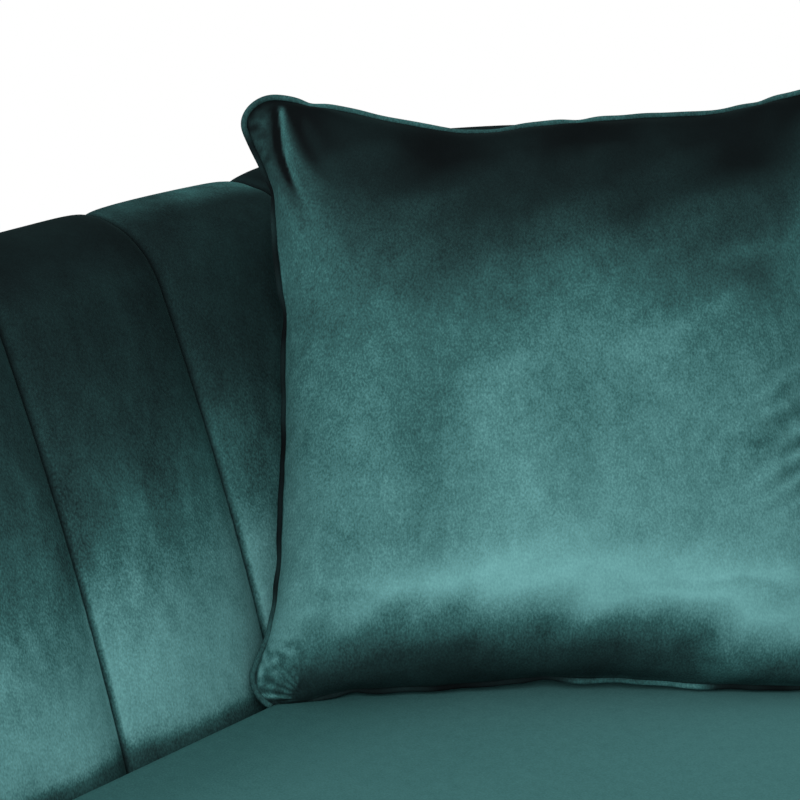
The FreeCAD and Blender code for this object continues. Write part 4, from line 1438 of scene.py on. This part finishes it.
@dataclass
class ThrowPillow:
    """Square knife-edge pillow with piping, standing turned and leaning in a corner."""

    wall: Wall
    seat: SeatCushion
    cut: float = 0.465
    side: float = 0.453
    half: float = 0.064
    ear: float = 0.026
    steps: int = 88
    cord: float = 0.0023
    cord_sides: int = 12
    cord_out: float = 0.3
    cord_eased: int = 14
    eased_share: float = 0.9
    eased_times: int = 120
    foot_drop: float = 0.013
    ear_height: float = 0.0023
    corner_height: float = 0.0007
    edge_height: float = 0.0012
    face_height: float = 0.0014
    lean: float = math.radians(25)
    turn: float = math.radians(41)
    inward: float = 0.185
    forward: float = 0.167
    rise: float = 0.0133
    clear: float = 0.0006
    fill_clear: float = 0.003
    fill_share: Triple = (0.965, 0.965, 0.92)
    fold_slant: float = 30
    fold_spacing: float = 0.017
    brush_slant: float = 28
    brush_stretch: float = 2.2
    frames: int = 30

    @property
    def half_side(self) -> float:
        """Half the side of the filled pillow."""
        return self.side / 2

    def flat(self) -> Array:
        """One flat panel with rounded corners.

        Returns:
            Points across by up by 3.
        """
        even = np.linspace(-1, 1, self.steps + 1)
        line = 0.62 * even + 0.38 * np.sin(math.pi / 2 * even)
        across, up = np.meshgrid(line, line, indexing="ij")
        half = self.cut / 2
        x, y = round_corners(across, up, (1, 1), self.ear / half)
        return spots(x * half, y * half, 0.004 * (1 - across ** 2) * (1 - up ** 2))

    @staticmethod
    def sewn(front: Array, rear: Array) -> tuple[Array, Faces, Array, Array]:
        """Two panels sewn along their edge.

        Args:
            front: grid of points.
            rear: grid of the same shape and with the same edge.

        Returns:
            Points, faces, and the points' indices on the front and on the rear grid.
        """
        rows = len(front)
        inner = np.zeros((rows, rows), bool)
        inner[1:-1, 1:-1] = True
        first = np.arange(rows * rows).reshape(rows, rows)
        second = first.copy()
        second[inner] = rows * rows + np.arange(inner.sum())
        faces = grid_faces(rows, rows, flip=True)
        behind = second.ravel()
        faces += [tuple(int(behind[i]) for i in face[::-1]) for face in faces]
        return np.concatenate([front.reshape(-1, 3), rear[inner]]), faces, first, second

    def inflate(self, points: Array, faces: Faces) -> Array:
        """Points of the panels once the pillow is filled.

        Args:
            points: flat panels.
            faces: their faces.

        Returns:
            Points in the same order.
        """
        work = make_piece("pillow_work", points, faces, closed=False)
        cloth = work.modifiers.new("filling", "CLOTH")
        settings = {
            "quality": 6, "mass": 0.25, "tension_stiffness": 30, "compression_stiffness": 0.5,
            "shear_stiffness": 3, "bending_stiffness": 2.0, "air_damping": 4, "use_pressure": True,
            "uniform_pressure_force": 5,
        }
        for name, value in settings.items():
            setattr(cloth.settings, name, value)
        cloth.settings.effector_weights.gravity = 0
        cloth.collision_settings.use_collision = False
        scene = bpy.context.scene
        for number in range(1, self.frames + 1):
            scene.frame_set(number)
        done = work.evaluated_get(bpy.context.evaluated_depsgraph_get())
        flat = np.empty(len(points) * 3, np.float32)
        done.data.vertices.foreach_get("co", flat)
        scene.frame_set(1)
        bpy.data.objects.remove(work)
        return flat.reshape(-1, 3).astype(float)

    def shape(self, filled: Array, share: Array) -> Array:
        """Filled panels at their size, with the top edge and the foot as they have settled.

        Args:
            filled: points after filling.
            share: where each point was on the flat panel, from -1 to 1 across and up.

        Returns:
            Points before the folds are laid in.
        """
        wide, tall = self.side / np.ptp(filled[:, 0]), self.side / np.ptp(filled[:, 1])
        shaped = filled * (wide, tall, self.half / np.abs(filled[:, 2]).max())
        across, up = share.T
        dip = along_curve(TOP_EDGE, across) - 0.0012
        sunk = smooth(-0.2, -1.0, up) * self.foot_drop * (1 - across ** 4)
        shaped[:, 1] += smooth(0.2, 1.0, up) * dip - sunk
        bulge = 0.0035 * (1 - up ** 4) + 0.0035 * smooth(0.60, 0.95, up)
        shaped[:, 0] -= smooth(-0.40, -1.0, across) * bulge
        return shaped

    def eased(self, grid: Array, share: Array) -> Array:
        """Panel with the small puckers beside its edge smoothed, the edge itself kept.

        Args:
            grid: the panel's points.
            share: where each was on the flat panel, from -1 to 1.

        Returns:
            The smoothed points.
        """
        near = smooth(0.62, 0.88, np.abs(share).max(-1)) * self.eased_share
        near[0] = near[-1] = near[:, 0] = near[:, -1] = 0.0
        return grid + (blurred(grid, self.eased_times) - grid) * near[..., None]

    def folds(self, place: Array) -> Array:
        """Height of the folds over the face: at the upper left ear, the lower left corner and the right edge.

        Args:
            place: x and y on the pillow, from its middle.

        Returns:
            Height in metres.
        """
        x, y = place[..., 0], place[..., 1]
        right, down, up = x + self.half_side, self.half_side - y, y + self.half_side
        corner = self.corner_folds(0.038 - right, up - 0.004)
        corner = corner * smooth(0.040, 0.026, right) * smooth(0.036, 0.020, up)
        flat = at_height(place, 0.0)
        _, over = turned(x, y, self.fold_slant)
        edge = np.sin(2 * math.pi * over / self.fold_spacing + 2.6 * lumps(flat, 0.035, 9))
        edge *= smooth(0.105, 0.175, x + 0.02 * lumps(flat, 0.02, 13)) * np.exp(-((y + 0.042) / 0.042) ** 2)
        ear, _ = self.ear_folds(right, down)
        height = self.ear_height * ear + self.corner_height * corner + self.edge_height * edge
        return height + self.face_height * lumps(flat, 0.085, 23)

    @staticmethod
    def ear_folds(right: Array, down: Array) -> tuple[Array, Array]:
        """Two ridges and the crease between them that run down from the upper left ear.

        Args:
            right: distance from the left edge.
            down: distance from the top edge.

        Returns:
            Height from about -1 to 1, and how deep in the crease a point is.
        """
        drift = right - 0.0045 * np.logaddexp(0.0, (down - 0.050) / 0.010)
        spread = 0.005 + 0.20 * np.maximum(0.0, down - 0.017)
        crease = np.exp(-((drift - 0.0205) / 0.0030) ** 2)
        first = np.exp(-((drift - 0.0115) / 0.0048) ** 2)
        second = np.exp(-((drift - 0.0215 - spread) / (0.0045 + 0.25 * spread)) ** 2)
        crease = crease * smooth(0.008, 0.020, down) * smooth(0.100, 0.050, down)
        short = smooth(0.008, 0.018, down) * smooth(0.082, 0.042, down)
        late = smooth(0.022, 0.040, down) * smooth(0.135, 0.095, down)
        return 0.75 * second * short - 1.2 * crease + 0.9 * first * late, crease

    @staticmethod
    def corner_folds(away: Array, up: Array) -> Array:
        """Ridges that radiate from a point beside the lower left corner.

        Args:
            away: distance from the point towards the corner.
            up: distance above the point.

        Returns:
            Height from -1 to 1.
        """
        far = np.hypot(away, up)
        ridges = np.sin(24 * np.arctan2(up, away) + 1.2 + 14 * far)
        return ridges * smooth(0.006, 0.014, far) * smooth(0.048, 0.032, far)

    def pile_and_painted_light(self, plain_grid: Array, grid: Array, away: Array) -> Array:
        """Painted light and shade of the pile over one panel, by height and by the way the cloth faces the
        light.

        Args:
            plain_grid: the panel's points before the folds.
            grid: the panel's points with the folds.
            away: distance of the points from the edge.

        Returns:
            Tones in the shape of the grid.
        """
        tilt = normals(grid) - normals(plain_grid)
        plain = normals(blurred(plain_grid, 60))
        across, level = (grid[..., axis] / self.half_side for axis in (0, 1))
        # painted light: the lit band low on the face reaches further down at the sides
        bowed = 0.02 + 0.085 * smooth(-0.56, -0.74, across)
        bowed = bowed + 0.02 * smooth(-0.10, 0.10, across) + 0.10 * smooth(0.25, 0.68, across)
        bowed = bowed * smooth(-0.2, -0.6, level)
        # painted light and shade by height, by how the folds tilt, and shifted by the brushing
        height = level + 1.1 * tilt[..., 1] + self.brushing(grid, level)
        tone = np.maximum(along_curve(FACE_PAINTED_LIGHT, height), along_curve(FACE_PAINTED_LIGHT, height + bowed))
        # painted shade on the lower left
        left = smooth(-0.45, -0.85, across) * smooth(-0.3, -0.6, level)
        tone = tone - 0.14 * left * smooth(0.4, 0.8, tone)
        tone = tone - 0.06 * smooth(-0.15, -0.55, across) * smooth(0.02, 0.3, tone)
        # painted sheen on the rounded sides
        rounded = smooth(0.12, 0.62, np.abs(plain[..., 0]))
        tone = between((tone, along_curve(SIDE_PAINTED_LIGHT, level)), rounded)
        right = grid[..., 0] + self.half_side
        down, up = (self.half_side - sense * grid[..., 1] for sense in (1, -1))
        _, crease = self.ear_folds(right, down)
        # painted light on fold sides that face left, painted shade on those facing right and in the ear's
        # crease
        side_tilt = tilt[..., 0] * np.sign(plain[..., 2])
        tone = tone - 0.9 * np.minimum(side_tilt, 0.0) - 0.35 * np.maximum(side_tilt, 0.0) - 0.20 * crease
        # painted shade of small puckers at the ear's tip and in the lower left corner
        puckers = lumps(grid * (1, 1, 0), 0.006, 31)
        tip = smooth(0.026, 0.014, right) * smooth(0.085, 0.045, down)
        low = smooth(0.055, 0.020, right) * smooth(0.060, 0.020, up)
        tone = tone * (1 - tip * (0.48 + 0.6 * puckers) - low * (0.30 + 0.5 * puckers))
        # painted shade beside the piping along the edge
        return np.clip(tone * (1 - 0.85 * smooth(0.0045, 0.0005, away)), 0.0, 1.0)

    def brushing(self, grid: Array, level: Array) -> Array:
        """Shift of the tone's height where the pile has been brushed, in streaks that rise to the right, and
        in the listed patches of crushed pile and of painted shade by the right edge's folds.

        Args:
            grid: the panel's points.
            level: their heights, from -1 to 1.

        Returns:
            Shift in the unit of level.
        """
        along, over = turned(grid[..., 0], grid[..., 1], self.brush_slant)
        streaks = spots(along / self.brush_stretch, over, 0.0)
        low = smooth(0.1, -0.45, level)
        shift = 0.13 * lumps(streaks, 0.062, 3) * (1 - 0.55 * low)
        shift = shift + 0.065 * lumps(streaks, 0.021, 11) * (1 - 0.2 * low)
        for x, y, slant, length, width, depth in CRUSHED_AND_SHADED:
            along, over = turned(grid[..., 0] - x, grid[..., 1] - y, slant)
            shift = shift + depth * np.exp(-(along / length) ** 2 - (over / width) ** 2)
        return shift

    def cord_painted_light(self, tube: Array) -> Array:
        """Painted light of the piping: highlights along the top edge, low on the left and in a glint at the
        foot; painted shade along the foot and the sides.

        Args:
            tube: the piping's points.

        Returns:
            Tones in the shape of the points.
        """
        across, height = (tube[..., axis] / self.half_side for axis in (0, 1))
        tone = 0.03 + 0.06 * lumps(tube, 0.03, 5)
        tone = tone + (0.34 - 0.14 * smooth(-0.80, -0.95, across)) * smooth(0.82, 0.90, height)
        tone = tone + 0.30 * smooth(-0.62, -0.72, height) * smooth(-0.90, -0.96, across)
        glint = smooth(-0.02, 0.06, across) * smooth(0.50, 0.42, across) * smooth(-0.90, -0.96, height)
        return np.clip(tone + 0.5 * glint, 0.0, 1.0)

    def place(self, sense: int) -> Array:
        """Stand of a pillow in its corner.

        Args:
            sense: -1 on the left and 1 on the right.

        Returns:
            Matrix from the pillow's own axes to the row frame.
        """
        wide = Vector((math.cos(self.turn), -sense * math.sin(self.turn), 0))
        face = Vector((-sense * math.sin(self.turn), -math.cos(self.turn), 0))
        tall = face * -math.sin(self.lean) + Vector((0, 0, 1)) * math.cos(self.lean)
        foot = Vector((sense * (self.wall.inner_half - self.inward), self.wall.back_line - self.forward,
                       self.wall.seat_level + self.rise))
        axes = Matrix((wide, tall, wide.cross(tall))).transposed().to_4x4()
        return np.array(Matrix.Translation(foot + tall * self.half_side) @ axes)

    def set_down(self, local: Array, matrix: Array, off: float) -> Array:
        """Points in the row frame, kept off the seat.

        Args:
            local: points in the pillow's own axes.
            matrix: its stand.
            off: how far they stay above the seat.

        Returns:
            The points.
        """
        world = local @ matrix[:3, :3].T + matrix[:3, 3]
        world[:, 2] = np.maximum(world[:, 2], self.seat.top(world[:, :2]) + off)
        return world

    def piping(self, body: str, rim: Array, matrix: Array) -> None:
        """Cloth-covered piping along the edge of a pillow.

        Args:
            body: the pillow's body.
            rim: points of its edge.
            matrix: its stand.
        """
        for _ in range(self.cord_eased):
            rim = (np.roll(rim, 1, axis=0) + 2 * rim + np.roll(rim, -1, axis=0)) / 4
        along = np.roll(rim, -1, axis=0) - np.roll(rim, 1, axis=0)
        along /= np.linalg.norm(along, axis=1, keepdims=True)
        out = np.cross(along, (0, 0, 1.0))
        out /= np.linalg.norm(out, axis=1, keepdims=True)
        out *= np.sign((out * rim).sum(1).mean())
        up = np.cross(out, along)
        centre = rim + out * self.cord * self.cord_out
        sides = self.cord_sides
        turns = np.linspace(0, 2 * math.pi, sides, endpoint=False)[None, :, None]
        tube = centre[:, None] + self.cord * (np.cos(turns) * out[:, None] + np.sin(turns) * up[:, None])
        rings = np.arange(len(rim) * sides).reshape(-1, sides).tolist()
        faces = [face for ring, after in zip(rings, rings[1:] + rings[:1]) for face in rim_faces(ring, after)]
        world = self.set_down(tube.reshape(-1, 3), matrix, self.clear)
        piece = make_piece(body + "_cord", world, faces, self.cord_painted_light(tube).ravel())
        settle(piece, body, [body + "_piping"], PILLOW_VELVET)

    def build(self) -> None:
        """Fill one pillow, then set it and its mirror image in the corners."""
        panel = self.flat()
        points, faces, front, rear = self.sewn(panel, panel * (1, 1, -1))
        share = points[:, :2] / (self.cut / 2)
        filled = self.inflate(points, faces)
        shaped = self.shape(filled, share)
        place = refined(share[front])
        rim_share = np.abs(place).max(-1)
        soft = smooth(1.0, 0.96, rim_share)
        grids, tones = [], []
        for index, sense in ((front, 1), (rear, -1)):
            grid = self.eased(refined(shaped[index]), place)
            raised = grid + sense * normals(grid) * (self.folds(grid[..., :2]) * soft)[..., None]
            grids.append(raised)
            tones.append(self.pile_and_painted_light(grid, raised, (1 - rim_share) * self.half_side))
        points, faces, front, rear = self.sewn(*grids)
        tone = np.zeros(len(points))
        tone[rear.ravel()] = tones[1].ravel()
        tone[front.ravel()] = tones[0].ravel()
        rim = front.ravel()[grid_rim(*front.shape)]
        for name, sense in (("left", -1), ("right", 1)):
            mirrored = points * (-sense, 1, 1)
            matrix = self.place(sense)
            body = name + "_pillow"
            cover = make_piece(body + "_cover", self.set_down(mirrored, matrix, self.clear), faces, tone)
            settle(cover, body, [body + "_front", body + "_back"], PILLOW_VELVET)
            inner = self.set_down(mirrored * self.fill_share, matrix, self.fill_clear)
            insert = make_piece(body + "_fill", inner, faces)
            settle(insert, body, [body + "_insert"], FIBRE)
            self.piping(body, mirrored[rim], matrix)


# Pieces that keep their shape, and the studio
@dataclass
class HiddenPieces:
    """CAD pieces that keep their shape and get their finish."""

    finishes: dict[str, Finish] = field(default_factory=lambda: {
        "hardwood": HARDWOOD, "plywood": PLYWOOD, "webbing": WEBBING, "lining": LINING, "leg_metal": BRASS,
        "steel": STEEL, "glide": GLIDE, "foam": FOAM, "fibre_fill": FIBRE, "velvet": VELVET,
    })

    def dress(self) -> None:
        """Give each CAD node the finish of its slot."""
        slots = {row["node"]: row["material_slot"] for row in frame["record"]["subparts"]}
        for name, node in frame["nodes"].items():
            material = self.finishes[slots[name]].material()
            node.data.materials.clear()
            node.data.materials.append(material)
            LOG.info("%s dressed as %s", name, material.name)


@dataclass
class Studio:
    """Camera, soft light and a pale floor."""

    eye: Triple = (0.638, -1.737, 1.412)
    yaw: float = 39.3
    pitch: float = 18.2
    lens: float = 145.7
    floor_half: float = 14.0
    floor_drop: float = 0.0005

    @staticmethod
    def add(name: str, data: bpy.types.ID, place: Triple) -> Thing:
        """Object at a place.

        Args:
            name: its name.
            data: camera or lamp.
            place: where it stands.

        Returns:
            The linked object.
        """
        thing = bpy.data.objects.new(name, data)
        thing.location = place
        bpy.context.scene.collection.objects.link(thing)
        return thing

    def camera(self) -> None:
        """Camera at the photograph's angle."""
        data = bpy.data.cameras.new("camera")
        data.lens = self.lens
        data.sensor_width = 36.0
        data.clip_start = 0.05
        data.clip_end = 60.0
        seen = self.add("camera", data, self.eye)
        seen.rotation_euler = (math.radians(90 - self.pitch), 0, math.radians(self.yaw))
        bpy.context.scene.camera = seen

    def lamp(self, name: str, place: Triple, target: Triple, size: float, power: float) -> None:
        """One soft square lamp.

        Args:
            name: lamp name.
            place: where it hangs.
            target: what it points at.
            size: side of the square.
            power: watts.
        """
        data = bpy.data.lights.new(name, "AREA")
        data.shape = "SQUARE"
        data.size = size
        data.energy = power
        lamp = self.add(name, data, place)
        lamp.rotation_euler = (Vector(target) - Vector(place)).to_track_quat("-Z", "Y").to_euler()

    @staticmethod
    def ground() -> bpy.types.Material:
        """Pale matt floor that goes over to plain white away from the sofa.

        Returns:
            The material.
        """
        material = bpy.data.materials.new("studio_floor")
        material.use_nodes = True
        nodes = Nodes(material.node_tree)
        shader = material.node_tree.nodes["Principled BSDF"]
        shader.inputs["Base Color"].default_value = (0.86, 0.86, 0.86, 1)
        shader.inputs["Roughness"].default_value = 0.8
        shader.inputs["Specular IOR Level"].default_value = 0.1
        spot = nodes.add("NewGeometry").outputs["Position"]
        flat = nodes.add("VectorMath", {0: spot, 1: (0.5, 0.75, 0.0)}, operation="MULTIPLY").outputs[0]
        far = nodes.add("VectorMath", {0: flat}, operation="LENGTH").outputs["Value"]
        share = nodes.add("MapRange", {"Value": far, "From Min": 0.75, "From Max": 1.35},
                          interpolation_type="SMOOTHSTEP").outputs[0]
        seen = nodes.math("MULTIPLY", share, nodes.add("LightPath").outputs["Is Camera Ray"])
        white = nodes.add("Emission", {"Color": (1, 1, 1, 1), "Strength": 1.0})
        mixed = nodes.add("MixShader", {0: seen, 1: shader.outputs[0], 2: white.outputs[0]})
        output = material.node_tree.nodes["Material Output"]
        material.node_tree.links.new(mixed.outputs[0], output.inputs["Surface"])
        return material

    def backdrop(self) -> None:
        """Pale floor, and a world that is white to the camera and soft to the sofa."""
        turns = np.array([(-1, -1), (1, -1), (1, 1), (-1, 1)])
        corners = at_height(turns * self.floor_half, -self.floor_drop)
        floor = make_piece("studio_floor", corners, [(0, 1, 2, 3)], closed=False)
        floor.data.materials.append(self.ground())
        world = bpy.data.worlds.new("studio")
        world.use_nodes = True
        bpy.context.scene.world = world
        nodes = Nodes(world.node_tree)
        world.node_tree.nodes.clear()
        path = nodes.add("LightPath").outputs
        seen = nodes.math("MAXIMUM", path["Is Camera Ray"], path["Is Glossy Ray"])
        seen = nodes.math("MAXIMUM", seen, path["Is Transmission Ray"])
        soft = nodes.add("Background", {"Color": (1.0, 0.99, 0.97, 1), "Strength": 0.60})
        white = nodes.add("Background", {"Color": (1, 1, 1, 1), "Strength": 1.0})
        either = nodes.add("MixShader", {0: seen, 1: soft.outputs[0], 2: white.outputs[0]})
        nodes.add("OutputWorld", {"Surface": either.outputs[0]})

    def build(self) -> None:
        """Everything round the sofa."""
        bpy.context.scene.view_settings.view_transform = "Standard"
        self.camera()
        self.backdrop()
        self.lamp("key", (1.6, -3.4, 2.9), (-0.3, 0.0, 0.5), 2.8, 120)
        self.lamp("fill", (-3.0, -2.2, 2.0), (0.0, 0.0, 0.5), 2.2, 50)
        self.lamp("rim", (0.4, 2.8, 3.0), (0.0, 0.0, 0.6), 2.4, 30)


def main() -> None:
    """Build the studio and the sofa, piece by piece."""
    logging.basicConfig(level=logging.INFO, format="%(message)s")
    wall = Wall()
    seat = SeatCushion(wall)
    channels = ChannelWall(wall)
    Studio().build()
    HiddenPieces().dress()
    channels.build()
    OutsideCovers(wall).build()
    ArmFronts(wall, channels).build()
    FrontApron().build()
    UnderSheets(wall).build()
    seat.build()
    ThrowPillow(wall, seat).build()


if __name__ == "__main__":
    main()
